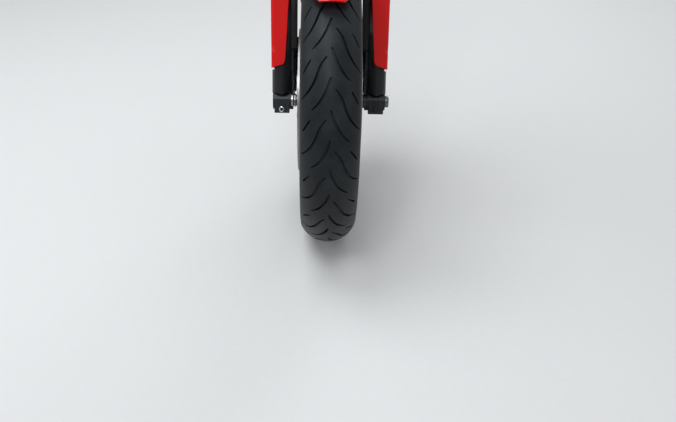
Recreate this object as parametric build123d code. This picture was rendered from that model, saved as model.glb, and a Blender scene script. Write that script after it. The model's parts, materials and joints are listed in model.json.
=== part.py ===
from build123d import *
import os
from math import cos, radians, sin, sqrt

# Motorcycle front end: wheel, brakes, upside-down fork, mudguard, yokes and steering stem.
# Millimetres. +X ahead, +Y to the machine's left, +Z up. The origin is the middle of the
# lower bearing journal of the steering stem.

# Steering geometry
rake = 24.5
yoke_offset = 30

# Clearances
seat_gap = 0.3
running_gap = 0.05

# Tyre
tyre_width = 110
tyre_height = 74.7
crown_flatness = 5
tread_edge_inset = 2
tread_thickness = 11
sidewall_thickness = 7
sidewall_drop = 12
sidewall_inner_drop = 18
inner_shoulder_drop = 4
bead_length = 10
bead_thickness = 6
bead_bulge = 9
bead_bulge_rise = 2.1
bead_lip_bevel = 2.2

# Rim
bead_seat_radius = 218.3
rim_width = 76.2
flange_height = 14.2
flange_thickness = 7.4
flange_bevel = 3.5
flange_bevel_width = 2.4
flange_lip_depth = 11
flange_back_inset = 4.5
bead_seat_slope = 1.3
rim_wall = 5.5
well_depth = 14.8
well_half_width = 13
well_slope = 8
well_corner = 4
well_shoulder = 11
well_shoulder_rise = 2

# Spokes
spoke_count = 5
spoke_split_radius = 112
spoke_spread = 15
spoke_root_width = 34
spoke_neck_width = 24
spoke_branch_width = 15
spoke_branch_overlap = 18
spoke_bury = 3
first_spoke = 90
# Half of a spoke's thickness, as (radius, half thickness), and near the rim as
# (depth below it, half thickness)
spoke_root = ((30, 23), (62, 16), (112, 12))
spoke_tip = ((38, 11.5), (8, 15), (-7, 17))

# Hub and bearings
axle_radius = 10
bearing_radius = 21
bearing_width = 12
seal_width = 6
hub_barrel_radius = 33
hub_flange_radius = 52
hub_flange_thickness = 12
hub_spigot_radius = 29.5
hub_spigot_length = 4
hub_bore_radius = 17
hub_cone_length = 12
hub_scallop_radius = 16
hub_scallop_offset = 9

# Discs
disc_radius = 145
disc_track = 40
disc_thickness = 4.5
disc_offset = 4.5
carrier_thickness = 5
carrier_rim_width = 11
carrier_hub_rim = 55
carrier_arm_width = 12
bobbin_count = 10
bobbin_radius = 6.5
bobbin_inset = 1.5
bobbin_rise = 1
carrier_edge_gap = 3

# Valve
valve_radius = 4
valve_length = 24
valve_angle = 54
valve_nut_radius = 7
valve_nut_height = 3

# Axle, spacers and fork bottoms
boss_radius = 18.5
boss_width = 37
boss_gap = 16.75
axle_head_radius = 12
axle_head_length = 8
axle_end_inset = 4
axle_socket_radius = 7
axle_socket_depth = 6
spacer_radius = 14
spacer_groove_place = 6
spacer_groove_width = 2.5
spacer_groove_depth = 2
socket_wall = 2
sleeve_bottom = 15
sleeve_top = 62
lug_drop = 26
lug_front = 19
lug_back = 17
lug_width = 30
lug_bevel = 5
pinch_slit = 2.5
pinch_bolt_radius = 4
pinch_bolt_drop = 18

# Fork tubes, as heights along the leg above the axle
inner_tube_radius = 18.5
inner_tube_wall = 2.5
inner_tube_bottom = 24
inner_tube_top = 430
outer_tube_bottom = 258
outer_tube_wall = 6.5
clamp_swell = 1
seal_head_swell = 1.5
seal_head_length = 34
dust_seal_wall = 5.5
dust_seal_length = 10
dust_seal_lip = 3.5
dust_seal_lip_height = 4
dust_seal_bevel = 1
clamp_swell_length = 6
clamp_swell_start = 14
tube_top_rise = 4
cap_step = 3.5
cap_rise = 7
cap_bevel = 1.5
cap_hex = 24
cap_hex_height = 6
cap_plug_length = 20
cap_plug_gap = 0.5
cap_socket_radius = 4
cap_socket_depth = 4

# Yokes
lower_yoke_bottom = 470
lower_yoke_thickness = 42
head_length = 178
upper_yoke_thickness = 24
clamp_wall = 9
clamp_ear_length = 15
clamp_ear_width = 30
clamp_slit = 3
stem_boss_radius = 27
lower_arm_width = 52
upper_arm_width = 44
arm_end_front = 19
arm_end_back = 26
pocket_wall = 7
pocket_rim = 9
pocket_end_rim_front = 11
pocket_end_rim_back = 3
pocket_floor = 12
lower_bolt_heights = (11, 31)
upper_bolt_heights = (12,)
steering_stop_radius = 8
steering_stop_spread = 14

# Steering stem
stem_radius = 15
stem_shoulder = 0.6
stem_bore_radius = 9
journal_length = 14
journal_relief = 1
journal_relief_depth = 0.4
stem_waist_radius = 13.2
stem_waist_step = 2
stem_thread_radius = 12.3
stem_thread_length = 18
stem_end_rise = 1
stem_nut_radius = 18
stem_nut_height = 10
stem_washer_rim = 2
stem_washer_height = 2
adjuster_radius = 20
adjuster_height = 11
adjuster_notches = 4
adjuster_notch_width = 6
adjuster_notch_depth = 3

# Handlebar clamps
bar_radius = 14.3
bar_rise = 40
bar_setback = 18
bar_clamp_spacing = 90
bar_clamp_width = 30
bar_clamp_wall = 9
bar_clamp_split = 0.8
bar_ear_length = 5
bar_ear_height = 14

# Calipers, on a direction behind and above the axle
caliper_angle = 40
caliper_end_to_bolt = 4
caliper_face_depth = 33
caliper_inner_reach = 33
caliper_outer_reach = 31
caliper_length = 92
caliper_body_depth = 48
bridge_gap = 5
bridge_thickness = 15
pad_thickness = 8
pad_gap = 0.5
pad_back_gap = 0.45
pad_edge_inset = 1
pad_length = 58
pad_height = 34
pad_tab_height = 6
pad_tab_length = 16
pad_window_inset = 6
piston_spread = 40
piston_radius = 19
piston_depth = 24
piston_bulge = 3
caliper_corner_depth = 22
caliper_corner_length = 16
bridge_corner = 18
caliper_lug_radius = 10
caliper_lug_length = 30
caliper_lug_offset = 20.5
caliper_lug_room = 1
hose_port_radius = 5
hose_port_depth = 12
bracket_thickness = 12
bracket_inset = 4.5
ear_depth = 22
web_step = 18
web_corner = 14
web_half_length = 60
web_foot = 6
web_front = 4
web_top_rise = 20
web_top_run = 12
window_rim = 12
window_end_rim = 19
window_back = 24
window_bottom = 14
skirt_seat_radius = 7
skirt_seat_height = 10

# Mudguard
guard_front_angle = 59
guard_rear_angle = 166
guard_crown_gap = 24
guard_shoulder_gap = 10
guard_edge_overlap = 17
guard_side_gap = 11.5
guard_shoulder_inset = 8.5
guard_side_drop = 7
guard_wall = 2.5
nose_half_width = 20
nose_length = 120
nose_sweep = 64
tail_half_width = 46
tail_length = 60
tail_sweep = 44
trim_bevel = 5
trim_bow_place = 0.42
trim_bow = 0.72
skirt_wall = 2.2
skirt_bottom = 105
skirt_front = 16
skirt_back = 24
skirt_wing_front = 58
skirt_wing_back = 76
skirt_wing_overlap = 16
skirt_wing_depth_front = 46
skirt_wing_depth_back = 58
skirt_toe = 8

# Red covers and black guards ahead of the legs
cover_sleeve_gap = 2
cover_seal_gap = 2
cover_taper = 2.2
cover_front_gap = 10.5
cover_bevel = 3.5
cover_back = 4
cover_wall = 2
cover_inner_low = 6
cover_inner_high = 16.5
cover_lip = 5
cover_slant = 9
cover_toe = 3.5
cover_toe_height = 9
cover_corner = 11
cover_corner_height = 12
tongue_bottom = 12
tongue_width = 30
tongue_shoulder_gap = 6
tongue_upper_width = 36
tongue_top_gap = 8
tongue_wall = 2.2

# Places worked out from the sizes above
disc_plane = tyre_width / 2 + disc_offset
boss_inner = disc_plane + disc_thickness / 2 + boss_gap
leg_y = boss_inner + boss_width / 2
leg_spacing = 2 * leg_y
boss_outer = leg_y + boss_width / 2
lower_yoke_top = lower_yoke_bottom + lower_yoke_thickness
upper_yoke_bottom = lower_yoke_top + head_length
upper_yoke_top = upper_yoke_bottom + upper_yoke_thickness
journal_bottom = lower_yoke_top + journal_relief
journal_middle = journal_bottom + journal_length / 2
bar_height = upper_yoke_top + bar_rise
forward = Vector(cos(radians(rake)), 0, sin(radians(rake)))
upward = Vector(-sin(radians(rake)), 0, cos(radians(rake)))
axle_centre = forward * yoke_offset - upward * journal_middle
hub_face = disc_plane + disc_thickness / 2 - carrier_thickness
bearing_outer = hub_face + hub_spigot_length - seal_width
bearing_inner = bearing_outer - bearing_width
disc_inner_radius = disc_radius - disc_track
bobbin_ring = disc_inner_radius - bobbin_inset
carrier_radius = disc_inner_radius - seat_gap - carrier_edge_gap
well_radius = bead_seat_radius - well_depth
rim_inner_radius = well_radius - rim_wall
flange_radius = bead_seat_radius + flange_height
tyre_radius = bead_seat_radius + tyre_height
tread_edge = tyre_width / 2 - tread_edge_inset
crown_curve = tyre_width / 2 + crown_flatness
sleeve_radius = inner_tube_radius + socket_wall
outer_tube_radius = inner_tube_radius + outer_tube_wall
outer_tube_clamp_radius = outer_tube_radius + clamp_swell
seal_head_radius = outer_tube_radius + seal_head_swell
dust_seal_radius = inner_tube_radius + dust_seal_wall
cap_radius = outer_tube_clamp_radius - cap_step
outer_tube_top = upper_yoke_top + tube_top_rise
stem_press_radius = stem_radius + stem_shoulder
caliper_bolt_spacing = caliper_length + 2 * caliper_end_to_bolt
caliper_face_radius = disc_radius - caliper_face_depth
caliper_body_start = disc_radius - caliper_body_depth
pad_slot = disc_thickness / 2 + pad_gap + pad_thickness + pad_back_gap
bracket_inner = boss_inner - bracket_inset
web_edge = caliper_face_radius - web_step
guard_crown_radius = tyre_radius + guard_crown_gap
guard_shoulder_radius = tyre_radius + guard_shoulder_gap
guard_edge_radius = tyre_radius - guard_edge_overlap
guard_half_width = tyre_width / 2 + guard_side_gap
guard_shoulder_half_width = guard_half_width - guard_shoulder_inset
skirt_outer = guard_half_width + seat_gap + skirt_wall
skirt_wing_radius = guard_edge_radius + skirt_wing_overlap
cover_bottom = sleeve_top + cover_sleeve_gap
cover_top = outer_tube_bottom - dust_seal_length - cover_seal_gap
cover_half_width_low = inner_tube_radius + seat_gap + cover_wall
cover_half_width_high = cover_half_width_low + cover_taper
cover_front = inner_tube_radius + cover_front_gap
tongue_top = outer_tube_bottom - dust_seal_length - tongue_top_gap

# Frames: the fork's own (X ahead of the leg, Z up the leg) and the wheel's, both at the axle
fork_frame = Plane(origin=axle_centre, x_dir=forward, z_dir=upward).location
wheel_frame = Location(axle_centre)
sides = (("left", 1), ("right", -1))


def save(name, shape, frame):
    """Writes one piece, moved from its own frame to the machine's."""
    export_step(frame * shape, f"parts/{name}.step")


def on_side(shape, sign):
    """A piece made for the left side, or its mirror image for the right."""
    return shape if sign > 0 else mirror(shape, about=Plane.XZ)


def turned(points):
    """A solid turned about Z from a half section of (radius, height) points."""
    return revolve(Plane.XZ * make_face(Polyline(*points, close=True)), Axis.Z)


def turned_across(points):
    """A solid turned about the axle from a half section of (radius, place across) points."""
    return Rot(X=-90) * turned(points)


def ring_across(outer, inner, start, end):
    """A plain ring about the axle between two places across the machine."""
    return turned_across([(inner, start), (outer, start), (outer, end), (inner, end)])


def rod_across(radius, start, end):
    """A round bar along the axle's direction."""
    return Pos(0, (start + end) / 2, 0) * Rot(X=90) * Cylinder(radius, end - start)


def around_axle(shape, count, first=0):
    """Copies of a piece, evenly spaced about the axle."""
    return [Rot(Y=first + 360 / count * i) * shape for i in range(count)]


def side_profile(points, start, end):
    """A plate cut to a side outline of (ahead, up) points, between two places across."""
    plate = extrude(Plane.XZ * make_face(Polyline(*points, close=True)), amount=-(end - start))
    return Pos(0, start, 0) * plate


def front_profile(points, start, end):
    """A block cut to a front outline of (across, up) points, between two places ahead."""
    return Pos(start, 0, 0) * extrude(Plane.YZ * make_face(Polyline(*points, close=True)), amount=end - start)


def block(ahead, across, up):
    """A box from three pairs of limits."""
    size = [high - low for low, high in (ahead, across, up)]
    middle = [(high + low) / 2 for low, high in (ahead, across, up)]
    return Pos(*middle) * Box(*size)


# Tyre: tread crown, sidewalls and beads as one open section turned about the axle
def make_tyre():
    shoulder = tyre_radius - crown_curve + sqrt(crown_curve ** 2 - tread_edge ** 2)
    inner_half = tread_edge - sidewall_thickness
    inner_shoulder = shoulder - inner_shoulder_drop
    bead_y = rim_width / 2 - seat_gap
    bead_radius = bead_seat_radius + seat_gap
    lip_radius = flange_radius + 2 * seat_gap
    bulge = (bead_y + bead_bulge, flange_radius + bead_bulge_rise)
    bead_back = bead_y - bead_thickness
    pieces = [ThreePointArc((-tread_edge, shoulder), (0, tyre_radius), (tread_edge, shoulder))]
    for sign in (1, -1):
        pieces.append(ThreePointArc((sign * tread_edge, shoulder),
                                    (sign * tyre_width / 2, shoulder - sidewall_drop),
                                    (sign * bulge[0], bulge[1])))
        bead = [bulge, (bead_y + bead_lip_bevel, lip_radius), (bead_y, flange_radius - flange_bevel),
                (bead_y, bead_radius), (bead_y - bead_length, bead_radius), (bead_back, flange_radius)]
        pieces.append(Polyline(*[(sign * y, radius) for y, radius in bead]))
        pieces.append(ThreePointArc((sign * bead_back, flange_radius),
                                    (sign * inner_half, shoulder - sidewall_inner_drop),
                                    (sign * (inner_half - 2), inner_shoulder)))
    pieces.append(ThreePointArc((-(inner_half - 2), inner_shoulder), (0, tyre_radius - tread_thickness),
                                (inner_half - 2, inner_shoulder)))
    return revolve(Plane.YZ * make_face(Curve() + pieces), Axis.Y)


# Cast wheel: rim, Y-shaped spokes and hub in one casting
def make_rim_ring():
    half = rim_width / 2
    edge = half + flange_thickness
    back_radius = bead_seat_radius - rim_wall
    # half of the rim's section, as (across, radius)
    half_section = (
        (well_half_width, well_radius), (well_half_width + well_slope, bead_seat_radius - bead_seat_slope),
        (half, bead_seat_radius), (half, flange_radius - flange_bevel),
        (half + flange_bevel_width, flange_radius), (edge, flange_radius),
        (edge, flange_radius - flange_lip_depth), (edge - flange_back_inset, back_radius),
        (well_half_width + well_shoulder, back_radius - well_shoulder_rise),
        (well_half_width + well_corner, rim_inner_radius))
    points = [(radius, y) for y, radius in half_section]
    points += [(radius, -y) for y, radius in reversed(half_section)]
    return turned_across(points)


def make_spokes():
    rim_reach = rim_inner_radius + rim_wall / 2
    hub_reach = hub_barrel_radius - spoke_bury
    limit = list(spoke_root) + [(rim_inner_radius - depth, thick) for depth, thick in spoke_tip]
    envelope = turned_across(limit + [(radius, -thick) for radius, thick in reversed(limit)])
    root = spoke_root_width / 2
    neck = spoke_neck_width / 2
    tip = spoke_branch_width / 2
    stalk = [(hub_reach, -root), (spoke_split_radius, -neck), (spoke_split_radius, neck), (hub_reach, root)]
    spoke = side_profile(stalk, -hub_barrel_radius, hub_barrel_radius)
    for sign in (1, -1):
        spread = radians(sign * spoke_spread)
        end = Vector(rim_reach * cos(spread), rim_reach * sin(spread))
        start = Vector(spoke_split_radius - spoke_branch_overlap, sign * (neck - tip))
        side = (end - start).normalized().rotate(Axis.Z, 90) * tip
        corners = [(point.X, point.Y) for point in (start - side, end - side, end + side, start + side)]
        spoke += side_profile(corners, -hub_barrel_radius, hub_barrel_radius)
    return [envelope & arm for arm in around_axle(spoke, spoke_count, first_spoke)]


def make_hub():
    flange_root = hub_face - hub_flange_thickness
    half_section = (
        (hub_barrel_radius, 0), (hub_barrel_radius, flange_root - hub_cone_length),
        (hub_flange_radius, flange_root),
        (hub_flange_radius, hub_face), (hub_spigot_radius, hub_face),
        (hub_spigot_radius, hub_face + hub_spigot_length), (bearing_radius, hub_face + hub_spigot_length),
        (bearing_radius, bearing_inner), (hub_bore_radius, bearing_inner), (hub_bore_radius, 0))
    half = turned_across(half_section)
    hub = half + mirror(half, about=Plane.XZ)
    scallop = rod_across(hub_scallop_radius, -tyre_width, tyre_width)
    scallop = Pos(hub_flange_radius + hub_scallop_offset, 0, 0) * scallop
    for cut in around_axle(scallop, spoke_count, first_spoke + 180 / spoke_count):
        hub -= cut
    return hub


def make_wheel_casting():
    wheel = make_rim_ring() + make_hub()
    for spoke in make_spokes():
        wheel += spoke
    hole = Pos(rim_inner_radius, 0, 0) * Rot(Y=90) * Cylinder(valve_radius + running_gap, 4 * rim_wall)
    bore = rod_across(hub_bore_radius, -bearing_inner, bearing_inner)
    return wheel - bore - Rot(Y=valve_angle) * hole


def make_bearing():
    return ring_across(bearing_radius - running_gap, axle_radius + running_gap, bearing_inner, bearing_outer)


def make_hub_seal():
    return ring_across(bearing_radius - running_gap, spacer_radius + seat_gap, bearing_outer,
                       hub_face + hub_spigot_length)


def make_valve():
    stem_foot = rim_inner_radius - seat_gap
    stem = Pos(well_radius - valve_length / 2, 0, 0) * Rot(Y=90) * Cylinder(valve_radius, valve_length)
    nut = extrude(RegularPolygon(valve_nut_radius, 6), amount=valve_nut_height / 2, both=True)
    return Rot(Y=valve_angle) * (stem + Pos(stem_foot - valve_nut_height / 2, 0, 0) * Rot(Y=90) * nut)


# Brake disc with drilled track, held by bobbins in a spider
def make_disc():
    half = disc_thickness / 2
    disc = ring_across(disc_radius, disc_inner_radius, disc_plane - half, disc_plane + half)
    notch = rod_across(bobbin_radius + seat_gap, disc_plane - disc_thickness, disc_plane + disc_thickness)
    for cut in around_axle(Pos(bobbin_ring, 0, 0) * notch, bobbin_count):
        disc -= cut
    return disc


def make_carrier():
    inside = hub_face
    outside = hub_face + carrier_thickness
    carrier = ring_across(carrier_radius, hub_spigot_radius + running_gap, inside, outside)
    step = 360 / bobbin_count
    window_top = carrier_radius - carrier_rim_width
    outline = []
    for radius, order in ((carrier_hub_rim, (-1, 1)), (window_top, (1, -1))):
        spread = radians(step / 2) - carrier_arm_width / 2 / radius
        outline += [(radius * cos(sign * spread), radius * sin(sign * spread)) for sign in order]
    window = side_profile(outline, inside - 1, outside + 1)
    for cut in around_axle(window, bobbin_count, step / 2):
        carrier -= cut
    bobbin_reach = disc_thickness / 2 + bobbin_rise
    bobbin = rod_across(bobbin_radius, disc_plane - bobbin_reach, disc_plane + bobbin_reach)
    for button in around_axle(Pos(bobbin_ring, 0, 0) * bobbin, bobbin_count):
        carrier += button
    return carrier


# Fork bottom: axle boss with its pinch lug, tube socket and caliper bracket, left side
def caliper_place(outward, along):
    """A point of the caliper's own plane as (ahead, up) in the fork's frame."""
    lean = radians(caliper_angle)
    return (-outward * cos(lean) + along * sin(lean), outward * sin(lean) + along * cos(lean))


def caliper_frame(across):
    """X outward from the axle through the caliper, Y across, Z down along the disc's edge."""
    lean = radians(caliper_angle)
    outward = Vector(-cos(lean), 0, sin(lean))
    along = Vector(sin(lean), 0, cos(lean))
    return Plane(origin=(0, across, 0), x_dir=outward, z_dir=-along).location


def make_bracket():
    """The plate from the leg to the caliper's ears, open in its middle."""
    low = caliper_place(web_edge, -web_half_length)
    high = caliper_place(web_edge, web_half_length)
    top = high[1] + web_top_rise
    outline = [(-web_foot, -boss_radius), caliper_place(web_edge - web_corner, -web_half_length), low, high,
               (high[0] + web_top_run, top), (web_front, top), (web_front, -boss_radius)]
    window_edge = web_edge - window_rim
    window_half = web_half_length - window_end_rim
    window = [caliper_place(window_edge, -window_half), caliper_place(window_edge, window_half),
              caliper_place(0, window_half), (0, window_bottom)]
    far = 2 * web_edge
    behind = block((-far, -window_back), (0, leg_spacing), (-far, far))
    plate = side_profile(outline, bracket_inner, bracket_inner + bracket_thickness)
    plate -= side_profile(window, 0, leg_spacing) & behind
    skirt_seat = rod_across(skirt_seat_radius, skirt_outer, bracket_inner + bracket_thickness / 2)
    return plate + Pos(-skirt_seat_radius, 0, high[1] + skirt_seat_height) * skirt_seat


def make_fork_bottom():
    body = rod_across(boss_radius, boss_inner, boss_outer)
    sleeve_length = sleeve_top - sleeve_bottom
    body += Pos(0, leg_y, sleeve_bottom + sleeve_length / 2) * Cylinder(sleeve_radius, sleeve_length)
    lug = block((-lug_back, lug_front), (leg_y - lug_width / 2, leg_y + lug_width / 2), (-lug_drop, 0))
    body += chamfer(lug.edges().filter_by(Axis.Y).sort_by(Axis.Z)[:2], lug_bevel)
    body += make_bracket()
    ear = Pos(caliper_face_radius - ear_depth / 2, 0, 0) * Rot(Y=90) * Cylinder(caliper_lug_radius, ear_depth)
    for along in (-caliper_bolt_spacing / 2, caliper_bolt_spacing / 2):
        body += caliper_frame(disc_plane + caliper_lug_offset) * Pos(0, 0, along) * ear
    socket = Cylinder(inner_tube_radius + running_gap, 2 * leg_spacing)
    body -= Pos(0, leg_y, inner_tube_bottom + leg_spacing) * socket
    body -= rod_across(spacer_radius + seat_gap, 0, boss_inner)
    body -= rod_across(axle_radius + running_gap, 0, leg_spacing)
    body -= block((-pinch_slit / 2, pinch_slit / 2), (0, leg_spacing), (-2 * lug_drop, 0))
    bolt = Rot(Y=90) * Cylinder(pinch_bolt_radius, 3 * lug_front)
    return body - Pos(0, leg_y, -pinch_bolt_drop) * bolt


# Caliper: two halves over the disc, joined by a bridge, with bolt lugs at its ends
def make_caliper():
    bridge_start = disc_radius + bridge_gap
    bridge_top = bridge_start + bridge_thickness
    half = caliper_length / 2
    # half of the side outline, as (outward, along)
    half_outline = [(caliper_body_start, half - caliper_corner_length),
                    (caliper_body_start + caliper_corner_depth, half), (bridge_start, half),
                    (bridge_top, half - bridge_corner)]
    outline = half_outline + [(outward, -along) for outward, along in reversed(half_outline)]
    body = side_profile(outline, -caliper_inner_reach, caliper_outer_reach)
    for start, end in ((-caliper_inner_reach - piston_bulge, 0), (0, caliper_outer_reach + piston_bulge)):
        for along in (-piston_spread / 2, piston_spread / 2):
            body += Pos(caliper_body_start + piston_depth, 0, along) * rod_across(piston_radius, start, end)
    middle = caliper_face_radius + seat_gap + caliper_lug_length / 2
    lug = Rot(Y=90) * Cylinder(caliper_lug_radius, caliper_lug_length)
    ear_room = Rot(Y=90) * Cylinder(caliper_lug_radius + caliper_lug_room, caliper_lug_length)
    for along in (-caliper_bolt_spacing / 2, caliper_bolt_spacing / 2):
        body -= Pos(middle - caliper_lug_length, caliper_lug_offset, along) * ear_room
        body += Pos(middle, caliper_lug_offset, along) * lug
    window = pad_length / 2 - pad_window_inset
    body -= block((0, bridge_start), (-pad_slot, pad_slot), (-leg_spacing, leg_spacing))
    body -= block((0, 2 * bridge_top), (-pad_slot, pad_slot), (-window, window))
    port = Pos(bridge_top - hose_port_depth / 2, (pad_slot + caliper_outer_reach) / 2, 0) * Rot(Y=90)
    return body - port * Cylinder(hose_port_radius, hose_port_depth)


def make_pads():
    face = disc_thickness / 2 + pad_gap
    back = face + pad_thickness
    top = disc_radius - pad_edge_inset
    pad = block((top - pad_height, top), (face, back), (-pad_length / 2, pad_length / 2))
    pad += block((top, top + pad_tab_height), (back - pad_thickness / 2, back),
                 (-pad_tab_length / 2, pad_tab_length / 2))
    return [pad, mirror(pad, about=Plane.XZ)]


# Axle with its flanged head on the left, and the spacers beside the hub
def make_axle():
    head_end = boss_outer + axle_head_length
    body = rod_across(axle_radius, -boss_outer + axle_end_inset, boss_outer)
    body += rod_across(axle_head_radius, boss_outer, head_end)
    hexagon = extrude(RegularPolygon(axle_socket_radius, 6), amount=axle_socket_depth, both=True)
    return body - Pos(0, head_end, 0) * Rot(X=90) * hexagon


def make_spacer(grooved):
    spacer = ring_across(spacer_radius, axle_radius + running_gap, bearing_outer + seat_gap, boss_inner)
    if grooved:
        start = hub_face + hub_spigot_length + spacer_groove_place
        spacer -= ring_across(2 * spacer_radius, spacer_radius - spacer_groove_depth,
                              start, start + spacer_groove_width)
    return spacer


# Fork tubes, seals and caps, turned about the leg
def make_inner_tube():
    bore = inner_tube_radius - inner_tube_wall
    return turned([(bore, inner_tube_bottom), (inner_tube_radius, inner_tube_bottom),
                   (inner_tube_radius, inner_tube_top), (bore, inner_tube_top)])


def make_outer_tube():
    bore = inner_tube_radius + running_gap
    head = outer_tube_bottom + seal_head_length
    swell = lower_yoke_bottom - clamp_swell_start
    return turned([(bore, outer_tube_bottom), (seal_head_radius, outer_tube_bottom), (seal_head_radius, head),
                   (outer_tube_radius, head + dust_seal_length), (outer_tube_radius, swell),
                   (outer_tube_clamp_radius, swell + clamp_swell_length),
                   (outer_tube_clamp_radius, outer_tube_top), (bore, outer_tube_top)])


def make_dust_seal():
    bore = inner_tube_radius + running_gap
    bottom = outer_tube_bottom - dust_seal_length
    lip_top = bottom + dust_seal_lip_height
    return turned([(bore, bottom), (dust_seal_radius - dust_seal_lip, bottom),
                   (dust_seal_radius - dust_seal_bevel, lip_top),
                   (dust_seal_radius, lip_top + 2 * dust_seal_bevel), (dust_seal_radius, outer_tube_bottom),
                   (bore, outer_tube_bottom)])


def make_fork_cap():
    hex_start = outer_tube_top + cap_rise
    hex_top = hex_start + cap_hex_height
    cap = turned([(0, outer_tube_top), (cap_radius, outer_tube_top), (cap_radius, hex_start - cap_bevel),
                  (cap_radius - cap_bevel, hex_start), (0, hex_start)])
    hexagon = extrude(RegularPolygon(cap_hex / 2, 6, major_radius=False), amount=cap_hex_height)
    cap += Pos(0, 0, hex_start) * hexagon
    cap += Pos(0, 0, outer_tube_top - cap_plug_length / 2) * Cylinder(inner_tube_radius - cap_plug_gap,
                                                                      cap_plug_length)
    return cap - Pos(0, 0, hex_top) * Cylinder(cap_socket_radius, 2 * cap_socket_depth)


# Yokes: clamps for both legs, arms and a boss for the stem, with slits and bolt ears behind
def make_yoke(bottom, thickness, arm_width, stem_bore, bolt_heights):
    clamp_radius = outer_tube_clamp_radius + clamp_wall
    arm_root = arm_width / 2
    plan = Pos(-yoke_offset, 0) * Circle(stem_boss_radius)
    for sign in (1, -1):
        plan += make_face(Polyline((-yoke_offset + arm_root, 0), (arm_end_front, sign * leg_y),
                                   (-arm_end_back, sign * leg_y), (-yoke_offset - arm_root, 0), close=True))
        plan += Pos(0, sign * leg_y) * Circle(clamp_radius)
        plan += Pos(-(clamp_radius + clamp_ear_length) / 2, sign * leg_y) * Rectangle(
            clamp_radius + clamp_ear_length, clamp_ear_width)
    yoke = Pos(0, 0, bottom) * extrude(plan, amount=thickness)
    yoke -= Pos(-yoke_offset, 0, bottom) * Cylinder(stem_bore + running_gap, 3 * thickness)
    pocket_start = stem_boss_radius + pocket_wall
    pocket_end = leg_y - clamp_radius - pocket_wall
    for sign in (1, -1):
        yoke -= Pos(0, sign * leg_y, bottom) * Cylinder(outer_tube_clamp_radius + running_gap, 3 * thickness)
        yoke -= block((-2 * clamp_radius, 0), (sign * leg_y - clamp_slit / 2, sign * leg_y + clamp_slit / 2),
                      (bottom - thickness, bottom + 2 * thickness))
        for height in bolt_heights:
            hole = Pos(-clamp_radius - clamp_ear_length / 2, sign * leg_y, bottom + height) * Rot(X=90)
            yoke -= hole * Cylinder(pinch_bolt_radius, 2 * clamp_ear_width)
        pocket = make_face(Polyline(
            (-yoke_offset + arm_root - pocket_rim, sign * pocket_start),
            (arm_end_front - pocket_end_rim_front, sign * pocket_end),
            (-arm_end_back + pocket_end_rim_back, sign * pocket_end),
            (-yoke_offset - arm_root + pocket_rim, sign * pocket_start), close=True))
        depth = thickness - pocket_floor
        yoke -= Pos(0, 0, bottom - thickness) * extrude(pocket, amount=thickness + depth)
    return yoke


def make_lower_yoke():
    yoke = make_yoke(lower_yoke_bottom, lower_yoke_thickness, lower_arm_width, stem_press_radius,
                     lower_bolt_heights)
    stop_ahead = -yoke_offset - stem_boss_radius + 1
    for sign in (1, -1):
        stop = Pos(stop_ahead, sign * steering_stop_spread, lower_yoke_top - lower_yoke_thickness / 2)
        yoke += stop * Cylinder(steering_stop_radius, lower_yoke_thickness)
    return yoke


def bar_clamp_outline():
    outer = bar_radius + bar_clamp_wall
    foot = upper_yoke_top - upper_yoke_thickness / 2
    plan = Pos(-bar_setback, bar_height) * Circle(outer)
    plan += Pos(-bar_setback, (foot + bar_height) / 2) * Rectangle(2 * outer, bar_height - foot)
    plan += Pos(-bar_setback, bar_height) * Rectangle(2 * (outer + bar_ear_length), bar_ear_height)
    return plan


def make_bar_clamps():
    blocks = []
    for sign in (1, -1):
        start = sign * bar_clamp_spacing / 2 + bar_clamp_width / 2
        blocks.append(Pos(0, start, 0) * extrude(Plane.XZ * bar_clamp_outline(), amount=bar_clamp_width))
    return blocks


def make_upper_yoke():
    yoke = make_yoke(upper_yoke_bottom, upper_yoke_thickness, upper_arm_width, stem_thread_radius,
                     upper_bolt_heights)
    far = 2 * leg_spacing
    above = block((-far, far), (-far, far), (bar_height - bar_clamp_split / 2, far + bar_height))
    for clamp in make_bar_clamps():
        yoke += clamp - above
    return yoke - Pos(-bar_setback, 0, bar_height) * rod_across(bar_radius, -far, far)


def make_bar_caps():
    far = 2 * leg_spacing
    above = block((-far, far), (-far, far), (bar_height + bar_clamp_split / 2, far + bar_height))
    bar = Pos(-bar_setback, 0, bar_height) * rod_across(bar_radius, -far, far)
    return [(clamp & above) - bar for clamp in make_bar_clamps()]


# Steering stem with its journal, thread, adjuster and top nut
def make_stem():
    journal_top = journal_bottom + journal_length
    relief_radius = stem_radius - journal_relief_depth
    thread_start = upper_yoke_bottom - adjuster_height - stem_thread_length
    top = upper_yoke_top + stem_nut_height + stem_end_rise
    stem = turned([(stem_bore_radius, lower_yoke_bottom), (stem_press_radius, lower_yoke_bottom),
                   (stem_press_radius, lower_yoke_top), (relief_radius, lower_yoke_top),
                   (relief_radius, journal_bottom - journal_relief / 2), (stem_radius, journal_bottom),
                   (stem_radius, journal_top), (stem_waist_radius, journal_top + stem_waist_step),
                   (stem_waist_radius, thread_start), (stem_thread_radius, thread_start + stem_waist_step),
                   (stem_thread_radius, top), (stem_bore_radius, top)])
    return Pos(-yoke_offset, 0, 0) * stem


def make_stem_nut():
    nut = Pos(0, 0, stem_washer_height / 2) * Cylinder(stem_nut_radius + stem_washer_rim, stem_washer_height)
    hexagon = extrude(RegularPolygon(stem_nut_radius, 6), amount=stem_nut_height - stem_washer_height)
    nut += Pos(0, 0, stem_washer_height) * hexagon
    nut -= Cylinder(stem_thread_radius + running_gap, 4 * stem_nut_height)
    return Pos(-yoke_offset, 0, upper_yoke_top) * nut


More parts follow.
